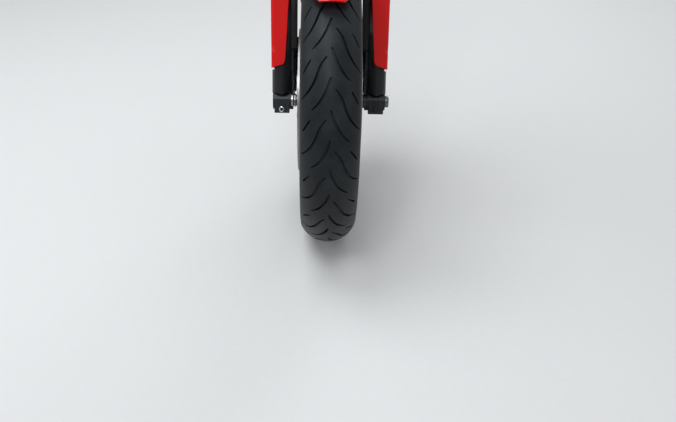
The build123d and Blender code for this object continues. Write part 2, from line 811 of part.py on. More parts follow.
def make_adjuster():
    nut = Pos(0, 0, adjuster_height / 2) * Cylinder(adjuster_radius, adjuster_height)
    nut -= Cylinder(stem_thread_radius + running_gap, 4 * adjuster_height)
    notch = Box(2 * adjuster_notch_depth, adjuster_notch_width, 4 * adjuster_height)
    for i in range(adjuster_notches):
        nut -= Rot(Z=360 / adjuster_notches * i) * Pos(adjuster_radius, 0, 0) * notch
    return Pos(-yoke_offset, 0, upper_yoke_bottom - adjuster_height) * nut


# Mudguard over the tyre, with a narrow rounded nose
def guard_half(inset):
    """Half of the mudguard's section from edge to shoulder, as (across, radius)."""
    side_radius = guard_shoulder_radius - guard_side_drop
    return [(guard_half_width - inset, guard_edge_radius),
            (guard_half_width - inset, side_radius - inset / 2),
            (guard_shoulder_half_width - inset / 2, guard_shoulder_radius - inset)]


def make_mudguard():
    curves = []
    for inset in (0, guard_wall):
        half = guard_half(inset)
        shoulder = half[-1]
        curves.append(ThreePointArc((-shoulder[0], shoulder[1]), (0, guard_crown_radius - inset), shoulder))
        for sign in (1, -1):
            curves.append(Polyline(*[(sign * y, radius) for y, radius in half]))
    for sign in (1, -1):
        curves.append(Line((sign * guard_half_width, guard_edge_radius),
                           (sign * (guard_half_width - guard_wall), guard_edge_radius)))
    shell = revolve(Plane.YZ * make_face(Curve() + curves), Axis.Y, guard_rear_angle - guard_front_angle)
    shell = Rot(Y=90 - guard_rear_angle) * shell
    for cut in guard_trim(guard_front_angle, 1, nose_half_width, nose_length):
        shell -= cut
    for cut in guard_trim(guard_rear_angle, -1, tail_half_width, tail_length):
        shell -= cut
    shell -= guard_sweep(guard_front_angle, 1, nose_length, nose_sweep)
    return shell - guard_sweep(guard_rear_angle, -1, tail_length, tail_sweep)


def guard_sweep(end_angle, turn, length, sweep):
    """Cutter that lifts the lower edge of both side walls towards an end of the mudguard."""
    side_radius = guard_shoulder_radius - guard_side_drop
    low = guard_edge_radius - guard_edge_overlap
    past_end = radians(end_angle - turn)
    trimmed = radians(end_angle) + turn * length / guard_crown_radius
    full = trimmed + turn * sweep / guard_edge_radius
    corners = [(side_radius, past_end), (low, past_end), (low, full), (guard_edge_radius, full),
               (side_radius, trimmed), (side_radius, (trimmed + past_end) / 2)]
    points = [(radius * cos(angle), radius * sin(angle)) for radius, angle in corners]
    outline = Polyline(*points[:-1]) + ThreePointArc(points[-2], points[-1], points[0])
    return extrude(Plane.XZ * make_face(outline), amount=2 * guard_half_width, both=True)


def guard_trim(end_angle, turn, end_half, length):
    """Two cutters that narrow an end of the mudguard along a curve, seen from outside it."""
    lean = length / 2 / guard_crown_radius
    middle = radians(end_angle) + turn * lean
    outward = Vector(cos(middle), 0, sin(middle))
    inward = Vector(-sin(middle), 0, cos(middle)) * turn
    end = -guard_crown_radius * sin(lean)
    past_end = end - guard_half_width / 3
    wide = guard_half_width + seat_gap
    corner = (end + trim_bevel, end_half + trim_bevel)
    bow = (end + trim_bow_place * length, end_half + trim_bow * (wide - end_half))
    cut = Polyline((past_end, end_half), (end, end_half), corner)
    cut += ThreePointArc(corner, bow, (end + length, wide))
    cut += Polyline((end + length, wide), (end + length, 2 * wide), (past_end, 2 * wide),
                    (past_end, end_half))
    across = Vector(0, 1, 0)
    cutters = []
    for y_dir in (across, -across):
        plane = Plane(origin=outward * guard_edge_radius, x_dir=inward, z_dir=inward.cross(y_dir))
        cutters.append(extrude(plane * make_face(cut), amount=guard_crown_radius, both=True))
    return cutters


# Black skirt between the mudguard and a leg: a plate beside the tyre with a front flange
def make_skirt():
    inner = skirt_outer - skirt_wall
    top = sqrt(skirt_wing_radius ** 2 - skirt_wing_front ** 2)
    back_top = sqrt(skirt_wing_radius ** 2 - skirt_wing_back ** 2)
    outline = Polyline((-skirt_wing_back, back_top), (-skirt_back, back_top - skirt_wing_depth_back),
                       (-skirt_back, skirt_bottom + skirt_toe),
                       (-skirt_back + skirt_toe, skirt_bottom), (skirt_front, skirt_bottom),
                       (skirt_front, top - skirt_wing_depth_front), (skirt_wing_front, top))
    outline += ThreePointArc((skirt_wing_front, top), (0, skirt_wing_radius), (-skirt_wing_back, back_top))
    plate = Pos(0, inner, 0) * extrude(Plane.XZ * make_face(outline), amount=-skirt_wall)
    flange_end = leg_y - tongue_upper_width / 2 - seat_gap
    return plate + block((skirt_front - skirt_wall, skirt_front), (inner, flange_end),
                         (skirt_bottom, top - skirt_wing_depth_front))


# Cover ahead of a leg: an outer wall, a front plate and a short lip on the wheel's side
def cover_section(outer, inner, height):
    corner = cover_wall * (sqrt(2) - 1)
    shell = [(cover_back, outer), (cover_front - cover_bevel, outer), (cover_front, outer - cover_bevel),
             (cover_front, -inner), (cover_front - cover_lip, -inner)]
    shell += [(cover_front - cover_lip, cover_wall - inner), (cover_front - cover_wall, cover_wall - inner),
              (cover_front - cover_wall, outer - cover_bevel - corner),
              (cover_front - cover_bevel - corner, outer - cover_wall), (cover_back, outer - cover_wall)]
    return Pos(0, leg_y, height) * make_face(Polyline(*shell, close=True))


def make_cover():
    channel = loft([cover_section(cover_half_width_low, cover_inner_low, sleeve_top),
                    cover_section(cover_half_width_high, cover_inner_high, cover_top)], ruled=True)
    wide = cover_half_width_high + seat_gap
    corner = cover_top - cover_corner_height
    toe = cover_bottom + cover_slant
    # the outline seen from ahead, as (outward from the leg, up)
    outline = [(wide, cover_bottom), (wide, corner), (wide - cover_corner, cover_top),
               (cover_corner - wide, cover_top), (-wide, corner), (-wide, toe + 2 * cover_toe_height),
               (-cover_inner_low - cover_wall, toe + cover_toe_height), (-cover_toe, toe)]
    return channel & front_profile([(leg_y + out, up) for out, up in outline], 0, 2 * cover_front)


# Black guard on the front of the socket and the tube, with a tongue-shaped lower end
def make_tongue():
    inner = sleeve_radius + seat_gap
    outer = inner + tongue_wall
    shell = Cylinder(outer, 2 * tongue_top) - Cylinder(inner, 2 * tongue_top)
    round_centre = tongue_bottom + tongue_width / 2
    shoulder = sleeve_top + tongue_shoulder_gap
    outline = Pos(0, round_centre) * Circle(tongue_width / 2)
    outline += Pos(0, (round_centre + tongue_top) / 2) * Rectangle(tongue_width, tongue_top - round_centre)
    outline += Pos(0, (shoulder + tongue_top) / 2) * Rectangle(tongue_upper_width, tongue_top - shoulder)
    return Pos(0, leg_y, 0) * (shell & extrude(Plane.YZ * outline, amount=2 * outer))


os.makedirs("parts", exist_ok=True)
save("tyre", make_tyre(), wheel_frame)
save("wheel_casting", make_wheel_casting(), wheel_frame)
save("tyre_valve", make_valve(), wheel_frame)
for side, sign in sides:
    save(f"brake_disc_{side}", on_side(make_disc(), sign), wheel_frame)
    save(f"disc_carrier_{side}", on_side(make_carrier(), sign), wheel_frame)
    save(f"wheel_bearing_{side}", on_side(make_bearing(), sign), wheel_frame)
    save(f"hub_seal_{side}", on_side(make_hub_seal(), sign), wheel_frame)
    save(f"axle_spacer_{side}", on_side(make_spacer(sign < 0), sign), fork_frame)
    save(f"fork_bottom_{side}", on_side(make_fork_bottom(), sign), fork_frame)
    save(f"brake_caliper_{side}", on_side(caliper_frame(disc_plane) * make_caliper(), sign), fork_frame)
    pads = Compound([on_side(caliper_frame(disc_plane) * pad, sign) for pad in make_pads()])
    save(f"brake_pads_{side}", pads, fork_frame)
    leg = Pos(0, sign * leg_y, 0)
    save(f"inner_tube_{side}", leg * make_inner_tube(), fork_frame)
    save(f"outer_tube_{side}", leg * make_outer_tube(), fork_frame)
    save(f"dust_seal_{side}", leg * make_dust_seal(), fork_frame)
    save(f"fork_cap_{side}", leg * make_fork_cap(), fork_frame)
save("front_axle", make_axle(), fork_frame)
save("lower_yoke", make_lower_yoke(), fork_frame)
save("upper_yoke", make_upper_yoke(), fork_frame)
save("bar_clamp_caps", Compound(make_bar_caps()), fork_frame)
save("steering_stem", make_stem(), fork_frame)
save("stem_nut", make_stem_nut(), fork_frame)
save("bearing_adjuster", make_adjuster(), fork_frame)
save("mudguard", make_mudguard(), wheel_frame)
for side, sign in sides:
    save(f"mudguard_skirt_{side}", on_side(make_skirt(), sign), fork_frame)
    save(f"leg_cover_{side}", on_side(make_cover(), sign), fork_frame)
    save(f"fork_guard_{side}", on_side(make_tongue(), sign), fork_frame)
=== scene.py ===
# %% [markdown]
# # A motorcycle's front wheel and fork
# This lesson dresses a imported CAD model: a front wheel in an upside-down fork, with brakes, mudguard
# and steering stem. The CAD solids have every true size. Here they get a tread, rounded edges, bolts
# and finishes.

# %% The frame
import bmesh
import bpy
import json
from math import acos, asin, atan2, cos, degrees, pi, radians, sin, sqrt
from mathutils import Matrix, Vector


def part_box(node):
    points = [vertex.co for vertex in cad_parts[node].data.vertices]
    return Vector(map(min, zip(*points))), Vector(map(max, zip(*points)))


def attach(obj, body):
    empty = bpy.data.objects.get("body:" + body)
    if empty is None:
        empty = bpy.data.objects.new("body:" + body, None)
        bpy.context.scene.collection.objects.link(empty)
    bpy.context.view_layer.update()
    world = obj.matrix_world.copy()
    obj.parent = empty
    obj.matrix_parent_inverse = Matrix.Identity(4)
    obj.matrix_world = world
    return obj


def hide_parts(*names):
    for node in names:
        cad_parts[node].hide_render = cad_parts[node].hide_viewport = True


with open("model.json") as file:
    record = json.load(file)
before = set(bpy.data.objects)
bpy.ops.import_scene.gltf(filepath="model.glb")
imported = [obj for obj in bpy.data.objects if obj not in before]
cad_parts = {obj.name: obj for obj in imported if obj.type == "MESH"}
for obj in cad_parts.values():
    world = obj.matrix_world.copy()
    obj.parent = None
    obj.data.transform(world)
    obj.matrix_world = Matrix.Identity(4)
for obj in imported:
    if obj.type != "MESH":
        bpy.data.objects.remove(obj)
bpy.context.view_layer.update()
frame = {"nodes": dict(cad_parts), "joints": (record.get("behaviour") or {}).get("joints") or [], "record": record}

# %% [markdown]
# Blender works in metres, but the parts of a wheel are known in millimetres. So every piece is
# modelled in millimetres in one of two places: the wheel's own place, with Y along the axle, and
# the fork's, whose X points ahead of the legs and Z up along them. A matrix then carries the
# finished mesh to the machine. Both places have their origin in the middle of the axle.

# %% Two places to work in
MM = 0.001
SIDES = (("left", 1), ("right", -1))
up = Vector((0, 0, 1))
across = Vector((0, 1, 0))
axle = Vector(frame["joints"][0]["pos_m"])
leg_up = Vector(frame["record"]["mounts"][0]["axis"]).normalized()
leg_ahead = Vector((leg_up.z, 0, -leg_up.x))
wheel_place = Matrix.Translation(axle) @ Matrix.Scale(MM, 4)
fork_turn = Matrix((leg_ahead, across, leg_up)).transposed().to_4x4()
fork_place = Matrix.Translation(axle) @ fork_turn @ Matrix.Scale(MM, 4)
print("axle at", [round(x, 4) for x in axle], "rake", round(degrees(acos(leg_up.z)), 1), "degrees")

# %% [markdown]
# The camera comes first, so that every later choice can be judged through it. It stands ahead of
# the wheel and well above it, and looks down along the tread. Its place was found from the outline
# of the tyre and the two ends of the axle, and it is built from three directions, because a matrix
# takes those directly: what is right, what is up and what is behind.

# %% The camera
CAMERA_FROM_AXLE = Vector((1.4238, -0.020, 0.7255))
CAMERA_PITCH = radians(35.24)
CAMERA_YAW = radians(-1.85)
CAMERA_ROLL = radians(1.77)
LENS = 40.47
SENSOR_WIDTH = 36

looking = Vector((-cos(CAMERA_YAW), -sin(CAMERA_YAW), 0)) * cos(CAMERA_PITCH)
looking.z = -sin(CAMERA_PITCH)
level_right = looking.cross(up).normalized()
level_up = level_right.cross(looking)
right = level_right * cos(CAMERA_ROLL) + level_up * sin(CAMERA_ROLL)
above = level_up * cos(CAMERA_ROLL) - level_right * sin(CAMERA_ROLL)
camera_data = bpy.data.cameras.new("camera")
camera_data.lens = LENS
camera_data.sensor_width = SENSOR_WIDTH
camera = bpy.data.objects.new("camera", camera_data)
bpy.context.scene.collection.objects.link(camera)
camera_turn = Matrix((right, above, -looking)).transposed().to_4x4()
camera.matrix_world = Matrix.Translation(axle + CAMERA_FROM_AXLE) @ camera_turn
bpy.context.scene.camera = camera
print("camera", round(CAMERA_FROM_AXLE.length, 3), "m from the axle")

# %% [markdown]
# A finish is a tree of nodes, and the maths in it reads badly as nodes. The two small classes here
# let it be written as Python: a Field wraps one socket, and adding or multiplying fields adds the
# Math nodes. Every node is made by the one method of Finish, which sets the node's settings first
# and its sockets next. The colour and roughness that a Finish starts with are what a plain preview
# shows, and the nodes then vary them over the surface.

# %% Shader arithmetic
class Field:
    """A socket that takes part in arithmetic; each operator adds one Math node."""

    def __init__(self, finish, socket):
        self.finish = finish
        self.socket = socket

    def math(self, operation, first, second):
        return self.finish.node("Math", {0: first, 1: second}, operation=operation)

    def __add__(self, other):
        return self.math("ADD", self, other)

    def __radd__(self, other):
        return self.math("ADD", other, self)

    def __mul__(self, other):
        return self.math("MULTIPLY", self, other)

    def __rmul__(self, other):
        return self.math("MULTIPLY", other, self)

    def between(self, low, high):
        """0 below low, 1 above high, and smooth in between."""
        return self.finish.node("MapRange", {0: self, 1: low, 2: high}, interpolation_type="SMOOTHSTEP")


class Finish:
    """One material: a Principled shader and the nodes that feed it."""

    def __init__(self, name, colour, roughness, metallic=0.0, **constants):
        self.material = bpy.data.materials.new(name)
        self.material.use_nodes = True
        self.tree = self.material.node_tree
        self.shader = self.tree.nodes["Principled BSDF"]
        self.feed(Base_Color=(*colour, 1), Roughness=roughness, Metallic=metallic, **constants)

    def node(self, kind, inputs=None, output=0, **settings):
        made = self.tree.nodes.new("ShaderNode" + kind)
        for name, value in settings.items():
            setattr(made, name, value)
        for key, value in (inputs or {}).items():
            self.join(value, made.inputs[key])
        return Field(self, made.outputs[output])

    def join(self, value, socket):
        if isinstance(value, Field):
            self.tree.links.new(value.socket, socket)
        else:
            socket.default_value = value

    def feed(self, **sockets):
        """Sets or links the shader's sockets, with _ for a space in a name."""
        for name, value in sockets.items():
            self.join(value, self.shader.inputs[name.replace("_", " ")])

    def mix(self, share, first, second):
        """A colour between two, by a share from 0 to 1. A Mix node's colours are its sockets 6 and 7."""
        colours = [value if isinstance(value, Field) else (*value, 1) for value in (first, second)]
        return self.node("Mix", {0: share, 6: colours[0], 7: colours[1]}, output=2, data_type="RGBA")

    def where(self, centre=(0, 0, 0), stretch=(1, 1, 1)):
        """The point on the piece, measured from a centre and stretched for a pattern."""
        point = self.node("TexCoord", output="Object")
        moved = self.node("VectorMath", {0: point, 1: tuple(centre)}, operation="SUBTRACT")
        return self.node("Mapping", {"Vector": moved, "Scale": stretch}, vector_type="POINT")

    def distance(self, centre, directions):
        """How far a point is from a centre in metres, counted along the directions that are 1."""
        offset = self.node("VectorMath", {0: self.where(centre), 1: directions}, operation="MULTIPLY")
        return self.node("VectorMath", {0: offset}, output="Value", operation="LENGTH")

    def noise(self, size, detail=2.0, roughness=0.5, stretch=(1, 1, 1)):
        """Cloudy noise from 0 to 1, with lumps of about that size in metres."""
        inputs = {"Vector": self.where(stretch=stretch), "Scale": 1 / size, "Detail": detail,
                  "Roughness": roughness}
        return self.node("TexNoise", inputs)

    def bump(self, height, distance, strength):
        """Feeds a height from 0 to 1 to the shader's normal, as relief of that depth in metres."""
        relief = self.node("Bump", {"Height": height, "Distance": distance, "Strength": strength})
        self.feed(Normal=relief)


# %% [markdown]
# The object stands on a plain pale floor, as in a studio. A real one has a curved backdrop that
# hides where the floor ends. Here the floor is one wide sheet, and far from the wheel it fades into
# the colour of the world, so that no view shows a hard horizon. Near the wheel it stays a normal
# surface, which takes the wheel's shadow.

# %% The floor
FLOOR_WIDTH = 80.0
FADE_START = 1.5
FADE_END = 7.0
WORLD_COLOUR = (0.93, 0.95, 1.0)
WORLD_STRENGTH = 0.48
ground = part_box("tyre")[0].z

floor_finish = Finish("pale_floor", (0.66, 0.655, 0.64), 0.8, Specular_IOR_Level=0.2)
speckle = floor_finish.noise(size=0.012, detail=4.0, roughness=0.6)
floor_finish.feed(Base_Color=floor_finish.mix(speckle, (0.64, 0.636, 0.622), (0.675, 0.67, 0.656)))
floor_finish.bump(speckle, distance=0.0003, strength=0.2)
far = floor_finish.distance(axle, (1, 1, 0)).between(FADE_START, FADE_END)
haze = floor_finish.node("Emission", {"Color": (*WORLD_COLOUR, 1), "Strength": WORLD_STRENGTH})
near = Field(floor_finish, floor_finish.shader.outputs[0])
seamless = floor_finish.node("MixShader", {0: far, 1: near, 2: haze})
floor_finish.join(seamless, floor_finish.tree.nodes["Material Output"].inputs["Surface"])

floor_bm = bmesh.new()
bmesh.ops.create_grid(floor_bm, x_segments=1, y_segments=1, size=FLOOR_WIDTH / 2)
floor_bm.transform(Matrix.Translation((axle.x, 0, ground)))
floor_mesh = bpy.data.meshes.new("floor")
floor_bm.to_mesh(floor_mesh)
floor_bm.free()
floor_mesh.materials.append(floor_finish.material)
floor = bpy.data.objects.new("floor", floor_mesh)
bpy.context.scene.collection.objects.link(floor)
print("floor at", round(ground, 4), "m, fading from", FADE_START, "to", FADE_END, "m")

# %% [markdown]
# The light is soft and comes from wide lamps. The main one hangs overhead, as in a workshop, so
# that the mudguard shades the tyre below it and the lower tread falls into its own shade. One ahead
# of the wheel draws the sheen down the upper tread. Weaker lamps behind and at both sides keep the
# other views readable, and the world fills the shadows.

# %% Lamps and world
LAMPS = (
    # name, place from the axle in m, width, height, watts
    ("overhead", (-0.1, -0.8, 2.3), 1.4, 1.4, 32),
    ("ahead", (1.5, -0.35, 2.1), 0.8, 0.8, 20),
    ("behind", (-2.2, 0.9, 1.6), 1.4, 1.4, 22),
    ("left", (0.0, 2.5, 1.25), 1.5, 1.1, 4),
    ("right", (0.1, -2.5, 1.25), 1.5, 1.1, 14),
)
LAMPS_AIM = Vector((0, 0, 0.15))
LAMP_COLOUR = (0.93, 0.97, 1.0)

for name, place, width, height, watts in LAMPS:
    lamp_data = bpy.data.lights.new(name, "AREA")
    lamp_data.shape = "RECTANGLE"
    lamp_data.size = width
    lamp_data.size_y = height
    lamp_data.energy = watts
    lamp_data.color = LAMP_COLOUR
    lamp = bpy.data.objects.new(name, lamp_data)
    lamp.visible_camera = False
    bpy.context.scene.collection.objects.link(lamp)
    aim = LAMPS_AIM - Vector(place)
    lamp_turn = aim.to_track_quat("-Z", "Y").to_matrix().to_4x4()
    lamp.matrix_world = Matrix.Translation(axle + Vector(place)) @ lamp_turn

world = bpy.data.worlds.new("workshop")
bpy.context.scene.world = world
world.use_nodes = True
world.node_tree.nodes["Background"].inputs["Color"].default_value = (*WORLD_COLOUR, 1)
world.node_tree.nodes["Background"].inputs["Strength"].default_value = WORLD_STRENGTH
bpy.context.scene.view_settings.view_transform = "Standard"
print(len(LAMPS), "lamps,", sum(row[-1] for row in LAMPS), "watts in all")

# %% [markdown]
# Rubber is never one black. A tyre that has run a few kilometres is dark grey with a greenish cast,
# dusty on the tread, blacker in the grooves and smoother on the sidewall. Fine noise gives the
# grain, broad noise the dust, and the distance from the axle tells tread from sidewall. The small
# rubber parts are moulded and clean, so they need only a grain.

# %% Rubber
SHOULDER = (0.268, 0.286)


def distance_from_axle(finish):
    """How far a point is from the axle's line, in metres."""
    return finish.distance(axle, (1, 0, 1))


def make_tyre_rubber():
    rubber = Finish("tyre_rubber", (0.02, 0.023, 0.025), 0.5, Specular_IOR_Level=0.18)
    dust = rubber.noise(size=0.05, detail=5.0, roughness=0.6)
    grain = rubber.noise(size=0.0012, detail=3.0)
    scrub = rubber.noise(size=0.004, detail=4.0, stretch=(0.12, 1, 0.12))
    on_tread = distance_from_axle(rubber).between(*SHOULDER)
    dusty = rubber.mix(dust.between(0.35, 0.75), (0.009, 0.0115, 0.013), (0.019, 0.023, 0.026))
    rubber.feed(Base_Color=rubber.mix(on_tread, (0.009, 0.01, 0.0105), dusty),
                Roughness=grain * 0.08 + scrub * 0.14 + 0.34)
    rubber.bump(grain * 0.6 + scrub * on_tread * 0.4, distance=0.0002, strength=0.5)
    return rubber


def make_moulded_rubber():
    rubber = Finish("moulded_rubber", (0.02, 0.02, 0.021), 0.55)
    grain = rubber.noise(size=0.0015)
    rubber.feed(Roughness=grain * 0.2 + 0.45)
    rubber.bump(grain, distance=0.0001, strength=0.4)
    return rubber


finishes = {"tyre": make_tyre_rubber(), "rubber": make_moulded_rubber()}
print("rubber:", {slot: len(finish.tree.nodes) for slot, finish in finishes.items()}, "nodes")

# %% [markdown]
# Wheel, yokes and calipers are aluminium castings. Paint over a casting keeps its fine sandy skin,
# so the bump is small noise, and broad noise wears the paint a little. The fork bottoms are
# machined after casting, and the cutter leaves marks that run round the axle bosses. Noise that is
# stretched along two directions and fine across the third gives such marks without a texture.

# %% Painted castings
CAST_GRAIN = 0.0022


def toned(colour, factor):
    """A colour made paler or darker."""
    return tuple(channel * factor for channel in colour)


def make_painted_casting(name, colour, roughness):
    """Satin paint over a cast skin."""
    paint = Finish(name, colour, roughness, Specular_IOR_Level=0.35)
    skin = paint.noise(size=CAST_GRAIN)
    wear = paint.noise(size=0.03, detail=4.0)
    paint.feed(Base_Color=paint.mix(wear, colour, toned(colour, 1.3)),
               Roughness=wear * 0.16 + (roughness - 0.08))
    paint.bump(skin, distance=0.00012, strength=0.5)
    return paint


def make_machined_casting():
    """The fork bottoms' paint, with the cutter marks that run round their axle bosses."""
    paint = Finish("fork_casting", (0.012, 0.014, 0.015), 0.36, Specular_IOR_Level=0.3)
    marks = paint.noise(size=0.0026, stretch=(0.02, 1, 0.02)).between(0.35, 0.65)
    skin = paint.noise(size=CAST_GRAIN)
    paint.feed(Base_Color=paint.mix(marks, (0.006, 0.0075, 0.0085), (0.022, 0.026, 0.029)),
               Roughness=marks * 0.12 + skin * 0.1 + 0.26)
    paint.bump(marks * 0.6 + skin * 0.4, distance=0.00012, strength=0.5)
    return paint


finishes["wheel_black"] = make_painted_casting("wheel_paint", (0.012, 0.012, 0.013), 0.4)
finishes["yoke_black"] = make_painted_casting("yoke_paint", (0.014, 0.014, 0.015), 0.45)
finishes["caliper_black"] = make_painted_casting("caliper_paint", (0.01, 0.01, 0.011), 0.42)
finishes["fork_alloy"] = make_machined_casting()
print(len(finishes), "finishes with the castings")

# %% [markdown]
# Bare metals differ more by how they were worked than by what they are. A turned face shows rings
# from the lathe. They are noise in one dimension that reads only the distance from the axle, and
# the same distance darkens the spacer's grooves with painted shade, where shade falls into them.
# Ground and anodised parts have a fine even grain under faint clouds.

# %% Bare metals
RING_PITCH = 0.0006
# Painted shade in the spacer's grooves: its colour, its soft edge and how far from the axle it reaches.
GROOVE_SHADE_COLOUR = (0.015, 0.014, 0.012)
GROOVE_SHADE_EDGE = 0.0006
SPACER_SHADE_BELOW = 0.0136


def make_turned_metal(name, colour, roughness, painted_shade_below=0.0):
    """Bare metal with rings about the axle, and painted shade nearer to it than a given distance."""
    metal = Finish(name, colour, roughness, metallic=1.0)
    reach = distance_from_axle(metal)
    rings = metal.node("TexNoise", {"W": reach * (1 / RING_PITCH), "Scale": 1.0, "Detail": 2.0},
                       noise_dimensions="1D")
    stain = metal.noise(size=0.02, detail=4.0)
    bare = metal.mix(rings * 0.6 + stain * 0.4, toned(colour, 0.72), colour)
    # Nearer to the axle than the given distance, the colour turns to painted shade.
    unshaded = reach.between(painted_shade_below - GROOVE_SHADE_EDGE, painted_shade_below)
    metal.feed(Base_Color=metal.mix(unshaded, GROOVE_SHADE_COLOUR, bare), Roughness=rings * 0.22 + (roughness - 0.08))
    metal.bump(rings, distance=0.00004, strength=0.6)
    return metal


def make_plain_metal(name, colour, roughness, metallic=1.0):
    """Metal with a fine even grain under faint clouds."""
    metal = Finish(name, colour, roughness, metallic=metallic)
    grain = metal.noise(size=0.001, detail=3.0)
    cloud = metal.noise(size=0.025, detail=4.0)
    metal.feed(Base_Color=metal.mix(cloud, toned(colour, 0.82), colour),
               Roughness=grain * 0.14 + (roughness - 0.07))
    metal.bump(grain, distance=0.00004, strength=0.5)
    return metal


finishes.update({
    "disc_steel": make_turned_metal("disc_steel", (0.42, 0.42, 0.43), 0.36),
    "spacer": make_turned_metal("spacer_alloy", (0.42, 0.42, 0.43), 0.3, painted_shade_below=SPACER_SHADE_BELOW),
    "spacer_dark": make_turned_metal("spacer_dark", (0.07, 0.07, 0.075), 0.4),
    "steel": make_plain_metal("steel", (0.17, 0.17, 0.175), 0.34),
    "hard_chrome": make_plain_metal("hard_chrome", (0.74, 0.74, 0.76), 0.14),
    "fork_cap": make_plain_metal("cap_anodised", (0.16, 0.16, 0.17), 0.3),
    "carrier_black": make_plain_metal("carrier_anodised", (0.028, 0.028, 0.03), 0.4, metallic=0.6),
    "outer_tube": make_plain_metal("outer_tube_anodised", (0.022, 0.022, 0.024), 0.34, metallic=0.5),
    "pad": make_plain_metal("pad_iron", (0.1, 0.09, 0.085), 0.6, metallic=0.5),
})
print(len(finishes), "finishes with the metals")

# %% [markdown]
# The red parts are moulded plastic under gloss paint and lacquer. The lacquer is the shader's coat:
# a second, sharper reflection over the colour. A faint waviness in it, called orange peel, keeps
# long reflections from looking like glass. Plain black plastic has a fine leather-like grain, which
# the cells of a Voronoi texture give, and scuffs that change its gloss.

# %% Paint and plastic
PORES_IN_A_METRE = 900.0


def make_red_lacquer():
    paint = Finish("red_lacquer", (0.6, 0.002, 0.001), 0.4, Coat_Weight=0.55, Coat_Roughness=0.05,
                   Specular_IOR_Level=0.05)
    depth = paint.noise(size=0.06, detail=3.0)
    peel = paint.noise(size=0.004, detail=1.0)
    paint.feed(Base_Color=paint.mix(depth, (0.56, 0.0015, 0.001), (0.66, 0.003, 0.0015)))
    paint.bump(peel, distance=0.00003, strength=0.35)
    return paint


def make_grained_plastic(name, colour, roughness):
    plastic = Finish(name, colour, roughness, Specular_IOR_Level=0.3)
    pores = plastic.node("TexVoronoi", {"Vector": plastic.where(), "Scale": PORES_IN_A_METRE}, feature="F1")
    scuff = plastic.noise(size=0.04, detail=5.0)
    plastic.feed(Roughness=scuff * 0.18 + (roughness - 0.09))
    plastic.bump(pores, distance=0.00008, strength=0.5)
    return plastic


finishes["red_gloss"] = make_red_lacquer()
finishes["black_plastic"] = make_grained_plastic("black_plastic", (0.01, 0.0085, 0.0085), 0.5)
finishes["guard_plastic"] = make_grained_plastic("guard_plastic", (0.01, 0.011, 0.013), 0.4)
print(len(finishes), "finishes with paint and plastic")

# %% [markdown]
# The CAD model's record names a slot for each node, such as hard_chrome for the inner tubes. So the
# finishes are kept by slot, and one loop puts them on the nodes. A node's mesh is never changed:
# only its material is. Nodes that need more than a finish are replaced further on.

# %% Finishes on the CAD nodes
node_slot = {part["node"]: part["material_slot"] for part in frame["record"]["subparts"]}
for name, node in frame["nodes"].items():
    node.data.materials.clear()
    node.data.materials.append(finishes[node_slot[name]].material)
print(len(finishes), "finishes on", len(frame["nodes"]), "CAD nodes")

# %% [markdown]
# These helpers do what every new piece needs. finished() turns a bmesh into an object: it closes
# the seams, points the faces outwards, carries the mesh to the machine and marks its sharp edges,
# so that round surfaces shade smoothly and corners stay crisp. spun() turns a row of points about
# an axis, as a lathe does, and merges the ends of the full turn.

# %% Making a piece
SEAM = 0.01
SHARP_ANGLE = 35


def finished(bm, name, place, body, slot, crease=SHARP_ANGLE, replaces=()):
    """Makes an object of a bmesh in millimetres and fixes it to a CAD body.

    Edges where faces meet at more than the crease, in degrees, stay sharp.
    """
    bmesh.ops.remove_doubles(bm, verts=bm.verts, dist=SEAM)
    bmesh.ops.recalc_face_normals(bm, faces=bm.faces)
    bm.transform(place)
    for face in bm.faces:
        face.smooth = True
    for edge in bm.edges:
        edge.smooth = edge.calc_face_angle(0) < radians(crease)
    mesh = bpy.data.meshes.new(name)
    bm.to_mesh(mesh)
    bm.free()
    mesh.materials.append(finishes[slot].material)
    piece = bpy.data.objects.new(name, mesh)
    bpy.context.scene.collection.objects.link(piece)
    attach(piece, body)
    if replaces:
        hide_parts(*replaces)
    print(name, "has", len(mesh.polygons), "faces and rides on the", body)


def spun(bm, row, axis, steps, closed):
    """Joins a row of points, into a ring if it is closed, and turns it about an axis."""
    points = [bm.verts.new(point) for point in row]
    following = points[1:] + points[:1] if closed else points[1:]
    edges = [bm.edges.new(pair) for pair in zip(points, following)]
    bmesh.ops.spin(bm, geom=points + edges, cent=(0, 0, 0), axis=axis, dvec=(0, 0, 0),
                   angle=2 * pi, steps=steps, use_merge=True)


# %% [markdown]
# A hole or groove with clean walls is easiest as a Boolean: one mesh is cut out of another. The
# modifier needs objects, so two working ones are made, the result is read back into a bmesh, and
# they are removed again. Most cutters here are round bars.

# %% Cutting one shape out of another
def apply_difference(solid, cutter):
    """Cuts one bmesh's shape out of another's and gives back the result as a bmesh."""
    working = []
    for bm in (solid, cutter):
        mesh = bpy.data.meshes.new("working")
        bm.to_mesh(mesh)
        bm.free()
        working.append(bpy.data.objects.new("working", mesh))
        bpy.context.scene.collection.objects.link(working[-1])
    cut = working[0].modifiers.new("cut", "BOOLEAN")
    cut.operation = "DIFFERENCE"
    cut.solver = "EXACT"
    cut.object = working[1]
    graph = bpy.context.evaluated_depsgraph_get()
    result = bmesh.new()
    result.from_mesh(working[0].evaluated_get(graph).to_mesh())
    for piece in working:
        bpy.data.objects.remove(piece)
    return result


def add_bar(bm, radius, length, steps, place):
    """Adds a round bar along Z, with its middle at a place given as a matrix."""
    bmesh.ops.create_cone(bm, cap_ends=True, segments=steps, radius1=radius, radius2=radius,
                          depth=length, matrix=place)


# %% [markdown]
# The tread has the grooves of a sports tyre: on each half a long groove that sweeps from the
# middle to the shoulder, a shorter hooked one beside it and a dash at the edge, with the two
# halves shifted against each other. They could be painted as bump, but a groove that shows in the
# outline has to be real. So the tread is made flat, as a strip as long as the tyre is round, the
# grooves are cut out of it with one Boolean, and then the strip is wrapped round the tyre.

